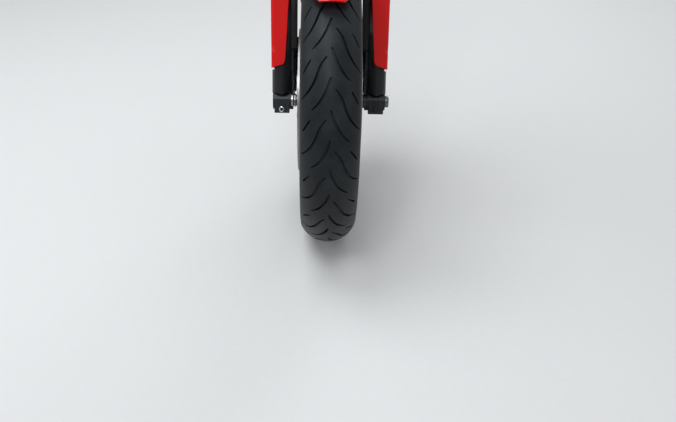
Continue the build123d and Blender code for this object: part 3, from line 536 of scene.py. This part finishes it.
# %% The tread's sizes
TYRE_RADIUS = 292.8
CROWN_CURVE = 60.0
TREAD_EDGE = 53.0
TREAD_DEPTH = 8.0
TREAD_COLUMNS = 24
PITCHES = 17
STEPS_IN_PITCH = 12
TYRE_STEPS = PITCHES * STEPS_IN_PITCH
GROOVE_DEPTH = 4.5
FIRST_SWEEP = -41.8
HALF_SHIFT = 11.0
GROOVES = (
    # name, start along, width across, line as (along, across the tread)
    ("sweep", 0, 5.8, ((0, 8), (12, 17), (24, 22), (40, 28), (54, 37), (64, 46), (74, 61))),
    ("hook", 36, 5.6, ((0, 0.5), (12, 3.5), (24, 8.5), (36, 15), (47, 23), (57, 35))),
    ("dash", 3, 4.4, ((0, 38), (10, 46), (23, 56))),
)
tread_length = 2 * pi * TYRE_RADIUS
tread_half = CROWN_CURVE * asin(TREAD_EDGE / CROWN_CURVE)
pitch = tread_length / PITCHES
print("tread", round(tread_length), "mm round and", round(2 * tread_half), "mm over the crown")
print("grooves repeat every", round(pitch, 1), "mm:", [name for name, *_ in GROOVES])

# %% [markdown]
# Each groove has its own blade: a ribbon that follows the groove's line, pulled down through the
# tread. The line is drawn with a few points, and cutting its corners twice makes a curve of it. The
# blade narrows over the quarter of its length next to each tip, as a moulded groove does.

# %% Blades for the grooves
BLADE_TOP = 1.5
TIP_WIDTH = 0.45
TAPERS = 4


def rounded(points, rounds=2):
    """Cuts the corners of a line until it looks like a curve."""
    for _ in range(rounds):
        cut = [points[0]]
        for (x0, y0), (x1, y1) in zip(points, points[1:]):
            cut.append((0.75 * x0 + 0.25 * x1, 0.75 * y0 + 0.25 * y1))
            cut.append((0.25 * x0 + 0.75 * x1, 0.25 * y0 + 0.75 * y1))
        points = cut + [points[-1]]
    return points


def add_blade(bm, line, width, along, side):
    """A tapered blade that follows a line on the flat tread and sinks into it."""
    line = rounded(line)
    last = len(line) - 1
    rim = [bm.verts.new((along + x, side * y, BLADE_TOP)) for x, y in line]
    edges = [bm.edges.new(pair) for pair in zip(rim, rim[1:])]
    ribbon = bmesh.ops.extrude_edge_only(bm, edges=edges)["geom"]
    other_rim = [part for part in ribbon if isinstance(part, bmesh.types.BMVert)]
    other_rim.sort(key=lambda vert: vert.co.x)
    for i, (near_vert, far_vert) in enumerate(zip(rim, other_rim)):
        opening = min(1, TAPERS * i / last, TAPERS * (last - i) / last)
        full = width * (TIP_WIDTH + (1 - TIP_WIDTH) * opening)
        near_vert.co.y -= full / 2
        far_vert.co.y += full / 2
    faces = [part for part in ribbon if isinstance(part, bmesh.types.BMFace)]
    sunk = bmesh.ops.extrude_face_region(bm, geom=faces)["geom"]
    for vert in (part for part in sunk if isinstance(part, bmesh.types.BMVert)):
        vert.co.z = -GROOVE_DEPTH


# %% [markdown]
# The flat tread is a grid with some depth, because a Boolean needs a closed solid. After the cut
# only its worked top and the walls of the grooves are kept, and every point moves to its place on
# the tyre: how far it lies along the strip becomes a turn about the axle, and how far across it
# lies becomes a lean over the crown.

# %% Cutting the tread and wrapping it
TOUCH = 0.001


def make_flat_tread():
    """A closed slab as long as the tyre is round, with all grooves cut out of its top."""
    strip = bmesh.new()
    bmesh.ops.create_grid(strip, x_segments=TYRE_STEPS, y_segments=TREAD_COLUMNS, size=1)
    bmesh.ops.scale(strip, vec=(tread_length / 2, tread_half, 1), verts=strip.verts)
    bmesh.ops.translate(strip, vec=(tread_length / 2, 0, 0), verts=strip.verts)
    sunk = bmesh.ops.extrude_face_region(strip, geom=list(strip.faces))["geom"]
    down = [part for part in sunk if isinstance(part, bmesh.types.BMVert)]
    bmesh.ops.translate(strip, vec=(0, 0, -TREAD_DEPTH), verts=down)
    bmesh.ops.recalc_face_normals(strip, faces=strip.faces)
    blades = bmesh.new()
    for turn in range(-1, PITCHES + 1):
        for side in (-1, 1):
            start = radians(FIRST_SWEEP + (HALF_SHIFT if side > 0 else 0)) * TYRE_RADIUS + tread_length
            for _, offset, width, line in GROOVES:
                add_blade(blades, line, width, start % pitch + turn * pitch + offset, side)
    bmesh.ops.recalc_face_normals(blades, faces=blades.faces)
    return apply_difference(strip, blades)


def wrap_tread(strip):
    """Keeps the worked surface of the flat tread and bends it round the tyre's crown."""
    unwanted = []
    for face in strip.faces:
        middle = face.calc_center_median()
        at_end = min(middle.x, tread_length - middle.x) < TOUCH
        at_edge = abs(middle.y) > tread_half - TOUCH
        if at_end or at_edge or middle.z < -TREAD_DEPTH + TOUCH:
            unwanted.append(face)
    bmesh.ops.delete(strip, geom=unwanted, context="FACES")
    for vert in strip.verts:
        turn = -vert.co.x / TYRE_RADIUS
        lean = vert.co.y / CROWN_CURVE
        height = CROWN_CURVE + vert.co.z
        radius = TYRE_RADIUS - CROWN_CURVE + height * cos(lean)
        vert.co = (radius * cos(turn), height * sin(lean), radius * sin(turn))


tread = make_flat_tread()
wrap_tread(tread)
print("tread cut with", 2 * PITCHES * len(GROOVES), "grooves,", len(tread.faces), "faces")

# %% [markdown]
# The rest of the tyre is one profile turned about the axle: the sidewall bulges a little, meets
# the rim at the bead and goes back up inside. It is turned in as many steps as the tread strip
# has, so the two edges meet point for point and merge. A thin moulded line runs round the sidewall.

# %% The tyre
BEAD_RADIUS = 218.6
BEAD_HALF = 37.8
LIP_RADIUS = 233.1
TYRE_CREASE = 38
shoulder = TYRE_RADIUS - CROWN_CURVE + sqrt(CROWN_CURVE ** 2 - TREAD_EDGE ** 2)

upper_wall = [(shoulder, TREAD_EDGE), (shoulder - 3, TREAD_EDGE + 1.1), (shoulder - 7, 54.7),
              (shoulder - 12, 55), (shoulder - 15, 54.7)]
moulded_line = [(shoulder - 15.6, 55.1), (shoulder - 16.6, 54.9), (shoulder - 17.2, 54.0)]
lower_wall = [(shoulder - 21, 52.6), (240, 51), (237.5, 49.8), (236.2, 50.1), (235.2, 49.6)]
bead = [(LIP_RADIUS + 1.6, 47), (LIP_RADIUS, 40.4), (BEAD_RADIUS + 11, BEAD_HALF),
        (BEAD_RADIUS + 2, BEAD_HALF), (BEAD_RADIUS, BEAD_HALF - 2), (BEAD_RADIUS, 29),
        (BEAD_RADIUS + 5, 27.8), (BEAD_RADIUS + 14, 32.5)]
inside = [(240, 42), (250, 45), (shoulder - 4, 43.5), (272, 33), (279, 18), (282, 0)]
half = upper_wall + moulded_line + lower_wall + bead + inside
profile = half + [(radius, -y) for radius, y in reversed(half[:-1])]

tyre = bmesh.new()
spun(tyre, [(radius, y, 0) for radius, y in profile], across, TYRE_STEPS, closed=False)
tread_mesh = bpy.data.meshes.new("working")
tread.to_mesh(tread_mesh)
tread.free()
tyre.from_mesh(tread_mesh)
bpy.data.meshes.remove(tread_mesh)
finished(tyre, "tyre_with_tread", wheel_place, "wheel", "tyre", crease=TYRE_CREASE, replaces=["tyre"])

# %% [markdown]
# The CAD solids have sharp edges, and nothing cast, moulded or turned has those. A softened copy
# of a node takes its mesh, joins the loose triangles, dissolves the flat faces back into whole
# ones and bevels every edge that is sharper than a given angle. The light then catches the edges.
# How wide the rounding is depends on how the part was made: wide on a cast yoke, narrow on a
# turned cap.

# %% Softening a CAD node's edges
FLAT_ANGLE = 0.6
ROUNDED_NODES = (
    # node, width of the rounded edge in mm, body
    ("wheel_casting", 1.2, "wheel"),
    ("fork_bottom_left", 1.0, "fork"),
    ("fork_bottom_right", 1.0, "fork"),
    ("brake_pads_left", 0.5, "fork"),
    ("brake_pads_right", 0.5, "fork"),
    ("lower_yoke", 1.6, "fork"),
    ("upper_yoke", 1.4, "fork"),
    ("front_axle", 0.6, "fork"),
    ("outer_tube_left", 0.6, "fork"),
    ("outer_tube_right", 0.6, "fork"),
    ("fork_cap_left", 0.5, "fork"),
    ("fork_cap_right", 0.5, "fork"),
    ("stem_nut", 0.6, "fork"),
    ("bearing_adjuster", 0.5, "fork"),
    ("mudguard_skirt_left", 0.7, "fork"),
    ("mudguard_skirt_right", 0.7, "fork"),
    ("fork_guard_left", 0.7, "fork"),
    ("fork_guard_right", 0.7, "fork"),
    ("mudguard", 0.9, "fork"),
)


def joined_copy(node, place):
    """A CAD node's mesh in millimetres, with its triangles joined into whole faces."""
    bm = bmesh.new()
    bm.from_mesh(frame["nodes"][node].data)
    bm.transform(place.inverted())
    bmesh.ops.remove_doubles(bm, verts=bm.verts, dist=SEAM)
    bmesh.ops.dissolve_limit(bm, angle_limit=radians(FLAT_ANGLE), verts=bm.verts, edges=bm.edges)
    return bm


def round_edges(bm, edges, width):
    """Rounds these edges with two narrow faces each."""
    bmesh.ops.bevel(bm, geom=edges, offset=width, offset_type="OFFSET", segments=2, profile=0.5,
                    affect="EDGES", clamp_overlap=True, material=-1)


def round_sharp_edges(bm, width):
    """Rounds every edge where two faces meet at more than the sharp angle."""
    sharp = [edge for edge in bm.edges if edge.calc_face_angle(0) > radians(SHARP_ANGLE)]
    round_edges(bm, sharp, width)


for node, width, body in ROUNDED_NODES:
    bm = joined_copy(node, fork_place)
    round_sharp_edges(bm, width)
    finished(bm, node + "_soft", fork_place, body, node_slot[node], replaces=[node])

# %% [markdown]
# Some flat round faces get a step as well. A disc floats on bobbins, turned buttons with a dished
# face, and the caliper's bulges over its pistons are machined flat with a shallow recess. Both are
# insets on the softened copy: the first leaves a rim, the second slopes down from it. Each face is
# found by its middle, which the CAD sizes give.

# %% Stepping a flat face
NEAR_ENOUGH = 1.0


def recess_faces(bm, centres, rim, slope, depth):
    """Steps down the flat face whose middle lies at each of these points, and counts them."""
    chosen = [face for face in bm.faces
              if any((face.calc_center_bounds() - centre).length < NEAR_ENOUGH for centre in centres)]
    bmesh.ops.inset_individual(bm, faces=chosen, thickness=rim, use_even_offset=True)
    bmesh.ops.inset_individual(bm, faces=chosen, thickness=slope, depth=-depth, use_even_offset=True)
    return len(chosen)


def on_ring(radius, turn):
    """A point on a ring about the axle."""
    return Matrix.Rotation(turn, 3, "Y") @ Vector((radius, 0, 0))


# %% Disc carriers with dished bobbins
DISC_PLANE = 59.5
BOBBINS = 10
BOBBIN_RING = 103.5
BOBBIN_FACE = 3.25


def soften_carrier(side, sign):
    """Rounds a disc carrier's edges and dishes both faces of its bobbins."""
    carrier = joined_copy(f"disc_carrier_{side}", wheel_place)
    round_sharp_edges(carrier, width=0.5)
    buttons = []
    for i in range(BOBBINS):
        button = on_ring(BOBBIN_RING, 2 * pi * i / BOBBINS)
        buttons += [button + across * sign * (DISC_PLANE + face) for face in (-BOBBIN_FACE, BOBBIN_FACE)]
    dished = recess_faces(carrier, buttons, rim=1.4, slope=0.6, depth=0.8)
    print(dished, "bobbin faces dished")
    finished(carrier, f"disc_carrier_{side}_soft", wheel_place, "wheel", "carrier_black",
             replaces=[f"disc_carrier_{side}"])


# %% [markdown]
# A caliper is mounted at a lean, so a point on it is awkward to give in the fork's place. It has
# three directions of its own instead: outward from the axle, along its length, and across from the
# disc. The piston bulges, and later its screws, pins and nipple, are all placed with them.

# %% Calipers with stepped piston bulges
CALIPER_LEAN = radians(40)
PISTON_OUT = 121.0
PISTON_SPREAD = 20.0
PISTON_FACES = (-36.0, 34.0)
caliper_out = Vector((-cos(CALIPER_LEAN), 0, sin(CALIPER_LEAN)))
caliper_along = Vector((sin(CALIPER_LEAN), 0, cos(CALIPER_LEAN)))


def caliper_point(outward, from_disc, along, sign):
    """A point of a caliper in the fork's place, from its own three directions."""
    return caliper_out * outward + caliper_along * along + across * sign * (DISC_PLANE + from_disc)


def soften_caliper(side, sign):
    """Rounds a caliper's edges and steps the bulges over its pistons."""
    caliper = joined_copy(f"brake_caliper_{side}", fork_place)
    round_sharp_edges(caliper, width=1.2)
    bulges = [caliper_point(PISTON_OUT, face, along, sign)
              for face in PISTON_FACES for along in (-PISTON_SPREAD, PISTON_SPREAD)]
    stepped = recess_faces(caliper, bulges, rim=3.2, slope=0.7, depth=1.4)
    print(stepped, "piston bulges stepped")
    finished(caliper, f"brake_caliper_{side}_soft", fork_place, "fork", "caliper_black",
             replaces=[f"brake_caliper_{side}"])


for side, sign in SIDES:
    soften_carrier(side, sign)
    soften_caliper(side, sign)

# %% [markdown]
# A brake disc is drilled so that it stays cool and dry. The holes are too many for a Boolean with
# separate cutters, so all of them are made as one mesh of short bars, and cut in one go. Each row
# starts a little further round than the one outside it, as on a real disc, so that the holes
# sweep the whole pad.

# %% Drilled discs
DRILL_LENGTH = 9.0
HOLE_RADIUS = 3.2
HOLE_STEPS = 12
HOLES_IN_ROW = 30
HOLE_ROWS = (
    # distance from the axle, how far round the row starts as a share of a step
    (137.5, 0.0),
    (128.5, 0.33),
    (119.5, 0.66),
)
lie_across = Matrix.Rotation(radians(90), 4, "X")

for side, sign in SIDES:
    drills = bmesh.new()
    for radius, shift in HOLE_ROWS:
        for i in range(HOLES_IN_ROW):
            turn = Matrix.Rotation(2 * pi * (i + shift) / HOLES_IN_ROW, 4, "Y")
            spot = turn @ Matrix.Translation((radius, sign * DISC_PLANE, 0)) @ lie_across
            add_bar(drills, HOLE_RADIUS, DRILL_LENGTH, HOLE_STEPS, spot)
    drilled = apply_difference(joined_copy(f"brake_disc_{side}", wheel_place), drills)
    print(len(HOLE_ROWS) * HOLES_IN_ROW, "holes drilled")
    finished(drilled, f"drilled_disc_{side}", wheel_place, "wheel", "disc_steel",
             replaces=[f"brake_disc_{side}"])

# %% [markdown]
# The spacer on the right shows between wheel and fork, and it is turned with two grooves, whose
# floors its finish darkens with painted shade. A turned piece needs only its profile: a groove is a
# step down and up again, with a narrow chamfer at each rim that draws a bright line.

# %% Grooved spacer
SPACER_RADIUS = 14.0
SPACER_BORE = 10.4
SPACER_ENDS = (61.1, 78.4)
SPACER_STEPS = 48
SPACER_GROOVES = ((66.6, 69.2), (71.6, 73.8))
GROOVE_FLOOR = 11.6
RIM = 0.35

profile = [(SPACER_BORE, SPACER_ENDS[0]), (SPACER_RADIUS - RIM, SPACER_ENDS[0]),
           (SPACER_RADIUS, SPACER_ENDS[0] + RIM)]
for start, end in SPACER_GROOVES:
    profile += [(SPACER_RADIUS, start - RIM), (SPACER_RADIUS - RIM, start), (GROOVE_FLOOR, start),
                (GROOVE_FLOOR, end), (SPACER_RADIUS - RIM, end), (SPACER_RADIUS, end + RIM)]
profile += [(SPACER_RADIUS, SPACER_ENDS[1] - RIM), (SPACER_RADIUS - RIM, SPACER_ENDS[1]),
            (SPACER_BORE, SPACER_ENDS[1])]
spacer = bmesh.new()
spun(spacer, [(radius, -y, 0) for radius, y in profile], across, SPACER_STEPS, closed=True)
finished(spacer, "axle_spacer_right_grooved", wheel_place, "fork", "spacer", replaces=["axle_spacer_right"])

# %% [markdown]
# The red covers are a thin moulding: an outer wall, a front plate and a bevel between them. Low on
# the outer edge the bevel widens into a small facet that catches the light. Cutting the mesh at
# three heights gives it rows of points there. In the middle row the points on the plate slide
# inwards and those on the wall slide back, so both stay flat and the bevel between them widens.

# %% Leg covers with their facet
LEG_ACROSS = 97.0
FACET_TOP = 114.0
FACET_TIP = 98.6
FACET_FOOT = 97.2
FACET_INWARDS = 5.5
FACET_BACK = 4.0
BEHIND_PLATE = 26.2
BEHIND_BEVEL = 23.5
OUTER_EDGE = 14.0
COVER_CREASE = 20

for side, sign in SIDES:
    cover = joined_copy(f"leg_cover_{side}", fork_place)
    round_sharp_edges(cover, width=0.8)
    for height in (FACET_TOP, FACET_TIP, FACET_FOOT):
        whole = list(cover.verts) + list(cover.edges) + list(cover.faces)
        bmesh.ops.bisect_plane(cover, geom=whole, dist=SEAM, plane_co=(0, 0, height), plane_no=up)
    row = [vert for vert in cover.verts if abs(vert.co.z - FACET_TIP) < 2 * SEAM
           and vert.co.x > BEHIND_BEVEL and sign * vert.co.y > LEG_ACROSS + OUTER_EDGE]
    for vert in row:
        if vert.co.x > BEHIND_PLATE:
            vert.co.y -= sign * FACET_INWARDS
        else:
            vert.co.x -= FACET_BACK
    print(len(row), "points slid for the facet")
    finished(cover, f"leg_cover_{side}_soft", fork_place, "fork", "red_gloss", crease=COVER_CREASE,
             replaces=[f"leg_cover_{side}"])

# %% [markdown]
# Nearly every bolt here is a cap screw with a hexagon socket. One head starts as a short bar: a
# bevel rounds its rim, an inset draws a ring on its top, the ring is pulled onto a hexagon and
# pushed down. Other small turned pieces start as a profile spun about Z. Each is modelled once,
# standing on the origin, and copied to its places, with Z turned to the direction it points.

# %% Small pieces and their copies
SCREW_STEPS = 24
HEAD_ROUNDING = 0.15
HEAD_RIM = 0.25
SOCKET_WIDTH = 0.6
SOCKET_DEPTH = 0.6


def cap_screw(radius, height):
    """A screw head with a hexagon socket, standing on the origin."""
    bm = bmesh.new()
    add_bar(bm, radius, height, SCREW_STEPS, place=Matrix.Translation(up * height / 2))
    top = max(bm.faces, key=lambda face: face.calc_center_median().z)
    round_edges(bm, list(top.edges), HEAD_ROUNDING * radius)
    top = max(bm.faces, key=lambda face: face.calc_center_median().z)
    bmesh.ops.inset_individual(bm, faces=[top], thickness=HEAD_RIM * radius, use_even_offset=True)
    for vert in top.verts:
        turn = atan2(vert.co.y, vert.co.x) % (pi / 3) - pi / 6
        vert.co.xy = vert.co.xy.normalized() * SOCKET_WIDTH * radius * cos(pi / 6) / cos(turn)
    sunk = bmesh.ops.extrude_discrete_faces(bm, faces=[top])["faces"][0]
    bmesh.ops.translate(bm, vec=(0, 0, -SOCKET_DEPTH * height), verts=sunk.verts)
    return bm


def turned_piece(profile, steps, closed=False):
    """A profile of (radius, height) points turned about Z."""
    bm = bmesh.new()
    spun(bm, [(radius, 0, height) for radius, height in profile], up, steps, closed)
    return bm


def copied_to(name, model, spots, place=fork_place, body="fork", slot="steel"):
    """One piece made of copies of a small model, each at a (point, direction) spot."""
    mesh = bpy.data.meshes.new("working")
    model.to_mesh(mesh)
    model.free()
    bm = bmesh.new()
    for point, direction in spots:
        first = len(bm.verts)
        bm.from_mesh(mesh)
        bm.verts.ensure_lookup_table()
        turn = Vector(direction).to_track_quat("Z", "Y").to_matrix().to_4x4()
        bmesh.ops.transform(bm, matrix=Matrix.Translation(point) @ turn, verts=bm.verts[first:])
    bpy.data.meshes.remove(mesh)
    finished(bm, name, place, body, slot)


def both_sides(spots):
    """The spots of the left side and their mirror images."""
    return [((x, sign * y, z), (a, sign * b, c)) for (x, y, z), (a, b, c) in spots for _, sign in SIDES]


# %% [markdown]
# One screw clamps each axle lug, and both show from ahead. The right lug has a bright plated screw;
# the left one is black, as painted shade for that lug, which lies in shade. Their sockets are in
# shade too, and a small black disc in each is painted shade. It could be a darker material in the
# socket, but a disc is simpler and keeps the screw one finish.

# %% Screws of the axle lugs
LUG_FACE = 19.0
PINCH_HEIGHT = -18.0
SOCKET_SHADE_RADIUS = 3.3
SOCKET_SHADE_HEIGHT = 2.0

pinch_spots = both_sides([((LUG_FACE, LEG_ACROSS, PINCH_HEIGHT), (1, 0, 0))])
# The left screw is black as painted shade, for the lug that stands in shade.
shade_black_screw = cap_screw(radius=5.4, height=3.5)
right_screw = cap_screw(radius=5.8, height=4.5)
copied_to("axle_pinch_screw_left_shade_black", shade_black_screw, pinch_spots[:1], slot="caliper_black")
copied_to("axle_pinch_screw_right", right_screw, pinch_spots[1:], slot="hard_chrome")
# Small black discs in the sockets are painted shade.
socket_shade = bmesh.new()
add_bar(socket_shade, SOCKET_SHADE_RADIUS, length=1, steps=12, place=Matrix.Translation(up * SOCKET_SHADE_HEIGHT))
copied_to("pinch_socket_painted_shade", socket_shade, pinch_spots, slot="caliper_black")

# %% [markdown]
# The other screws follow the holes in the CAD solids. Two hold each caliper by its ears and three
# more hold its halves together, the yokes clamp the tubes from outside, five screws hold each disc
# carrier to the hub, and the mudguard hangs on four low button screws through the wings of its
# black skirts.

# %% Screws of calipers, yokes, discs and mudguard
EAR_OUT = 142.3
EAR_ACROSS = 20.5
EAR_SPREAD = 50.0
CALIPER_FACE = 31.0
CALIPER_SCREWS = ((150, 30), (150, -30), (103, 0))
YOKE_EAR = (-42.5, 112.0)
YOKE_HEIGHTS = (481, 501, 702)
CARRIER_FACE = 61.75
CARRIER_SCREWS = 5
CARRIER_SCREW_RING = 43.0
SKIRT_FACE = 69.0
WING_RADIUS = 284.0
WINGS_AHEAD = (42, -60)

ear_spots = []
body_spots = []
carrier_spots = []
for _, sign in SIDES:
    for along in (-EAR_SPREAD, EAR_SPREAD):
        ear_spots.append((caliper_point(EAR_OUT, EAR_ACROSS, along, sign), caliper_out))
    for outward, along in CALIPER_SCREWS:
        body_spots.append((caliper_point(outward, CALIPER_FACE, along, sign), across * sign))
for i in range(CARRIER_SCREWS):
    hole = on_ring(CARRIER_SCREW_RING, radians(90 + 360 / CARRIER_SCREWS * i))
    carrier_spots += [(hole + across * sign * CARRIER_FACE, across * sign) for _, sign in SIDES]
yoke_spots = both_sides([((*YOKE_EAR, height), across) for height in YOKE_HEIGHTS])
wing_spots = both_sides([((ahead, SKIRT_FACE, sqrt(WING_RADIUS ** 2 - ahead ** 2)), across)
                         for ahead in WINGS_AHEAD])
copied_to("caliper_screws", cap_screw(radius=7.0, height=8.0), ear_spots)
copied_to("caliper_body_screws", cap_screw(radius=4.6, height=3.0), body_spots)
copied_to("yoke_screws", cap_screw(radius=6.2, height=6.0), yoke_spots)
copied_to("disc_screws", cap_screw(radius=6.0, height=3.6), carrier_spots, wheel_place, "wheel")
copied_to("mudguard_screws", cap_screw(radius=5.0, height=2.2), wing_spots)
print("screws:", len(ear_spots + body_spots + yoke_spots + carrier_spots + wing_spots))

# %% [markdown]
# A bleed nipple with its rubber cap stands on the upper corner of each caliper, and two pins cross
# its window and hold the pads. Both are turned parts, so each is one profile of a radius and a
# height at each step, turned about its own axis and set down where the caliper has its seat.

# %% Nipples and pins of the calipers
NIPPLE_SPOT = (157.5, 20.5, 37.0)
NIPPLE_LEAN = atan2(15, 18)
PIN_OUT = 157.0
PIN_START = -15
PIN_SPREAD = 14

nipple = [(0, 0), (4.2, 0), (4.2, 3.4), (3.0, 4.4), (2.4, 5.0), (2.4, 8.0), (3.3, 8.3), (3.6, 9.4),
          (3.4, 12.8), (2.3, 14.2), (0, 14.4)]
nipple_way = caliper_out * cos(NIPPLE_LEAN) + caliper_along * sin(NIPPLE_LEAN)
nipple_spots = [(caliper_point(*NIPPLE_SPOT, sign), nipple_way) for _, sign in SIDES]
copied_to("bleed_nipples", turned_piece(nipple, steps=18), nipple_spots, slot="rubber")
pin = [(0, 0), (3.6, 0), (3.6, 2.2), (2.2, 2.8), (2.2, 27.2), (3.6, 27.8), (3.6, 30), (0, 30)]
pin_spots = [(caliper_point(PIN_OUT, PIN_START, along, sign), across * sign)
             for _, sign in SIDES for along in (-PIN_SPREAD, PIN_SPREAD)]
copied_to("pad_pins", turned_piece(pin, steps=16), pin_spots)

# %% [markdown]
# The fork has turned details too: a wire spring closes each dust seal, a knob in each fork cap sets
# the damping, and the stem shows its thread below the upper yoke. A real thread is a helix, but
# rings of the same pitch look the same and close on themselves. The wheel's valve has a cap.

# %% Springs, knobs, thread and valve cap
SPRING_HEIGHT = 250.6
SPRING_RING = 23.2
SPRING_WIRE = 0.9
KNOB_FOOT = 727.0
THREAD_SPOT = (-30.0, 0, 663.0)
THREAD_LENGTH = 16.0
THREAD_PITCH = 1.6
THREAD_RADII = (12.0, 12.4, 12.95)
VALVE_ANGLE = radians(54)
VALVE_TIP = 188.0

wire = [(SPRING_RING + SPRING_WIRE * cos(radians(a)), SPRING_WIRE * sin(radians(a)))
        for a in range(0, 360, 45)]
copied_to("seal_springs", turned_piece(wire, steps=48, closed=True),
          both_sides([((0, LEG_ACROSS, SPRING_HEIGHT), up)]))
knob = [(0, 0), (3.7, 0), (3.7, 4.4), (3.1, 5.0), (1.6, 5.0), (1.3, 4.0), (0, 4.0)]
copied_to("damping_knobs", turned_piece(knob, steps=20), both_sides([((0, LEG_ACROSS, KNOB_FOOT), up)]),
          slot="spacer")
core, valley, crest = THREAD_RADII
ridges = int(THREAD_LENGTH / THREAD_PITCH)
thread = [(core, 0)]
for i in range(ridges):
    thread += [(crest, (i + 0.5) * THREAD_PITCH), (valley, (i + 1) * THREAD_PITCH)]
thread.append((core, ridges * THREAD_PITCH))
copied_to("stem_thread", turned_piece(thread, steps=40, closed=True), [(THREAD_SPOT, up)])
cap = [(0, 0), (4.7, 0), (4.9, 1.0), (4.9, 6.4), (4.4, 8.2), (3.2, 9.2), (0, 9.4)]
valve_spot = (on_ring(VALVE_TIP, VALVE_ANGLE), -on_ring(1, VALVE_ANGLE))
copied_to("valve_cap", turned_piece(cap, steps=20), [valve_spot], wheel_place, "wheel", "rubber")

# %% [markdown]
# The handlebar caps are held by four screws in counterbores. The bores are real, so the screw heads
# sit below the surface: four short bars are cut out of the softened caps with one Boolean, and the
# screws stand on the floors of the bores.

# %% Handlebar caps
BAR_BACK = -18.0
BAR_ACROSS = 45.0
CAP_SCREW_SPREAD = 21.3
COUNTERBORE = 5.9
BORE_FLOOR = 759.5
BORE_LENGTH = 20.0

caps = joined_copy("bar_clamp_caps", fork_place)
round_sharp_edges(caps, width=1.0)
bores = bmesh.new()
cap_spots = []
for ahead in (BAR_BACK - CAP_SCREW_SPREAD, BAR_BACK + CAP_SCREW_SPREAD):
    for _, sign in SIDES:
        floor_middle = Vector((ahead, sign * BAR_ACROSS, BORE_FLOOR))
        cap_spots.append((floor_middle, up))
        bore = Matrix.Translation(floor_middle + up * BORE_LENGTH / 2)
        add_bar(bores, COUNTERBORE, BORE_LENGTH, SCREW_STEPS, bore)
finished(apply_difference(caps, bores), "bar_clamp_caps_soft", fork_place, "fork", "yoke_black",
         replaces=["bar_clamp_caps"])
copied_to("bar_clamp_screws", cap_screw(radius=5.4, height=5.5), cap_spots)
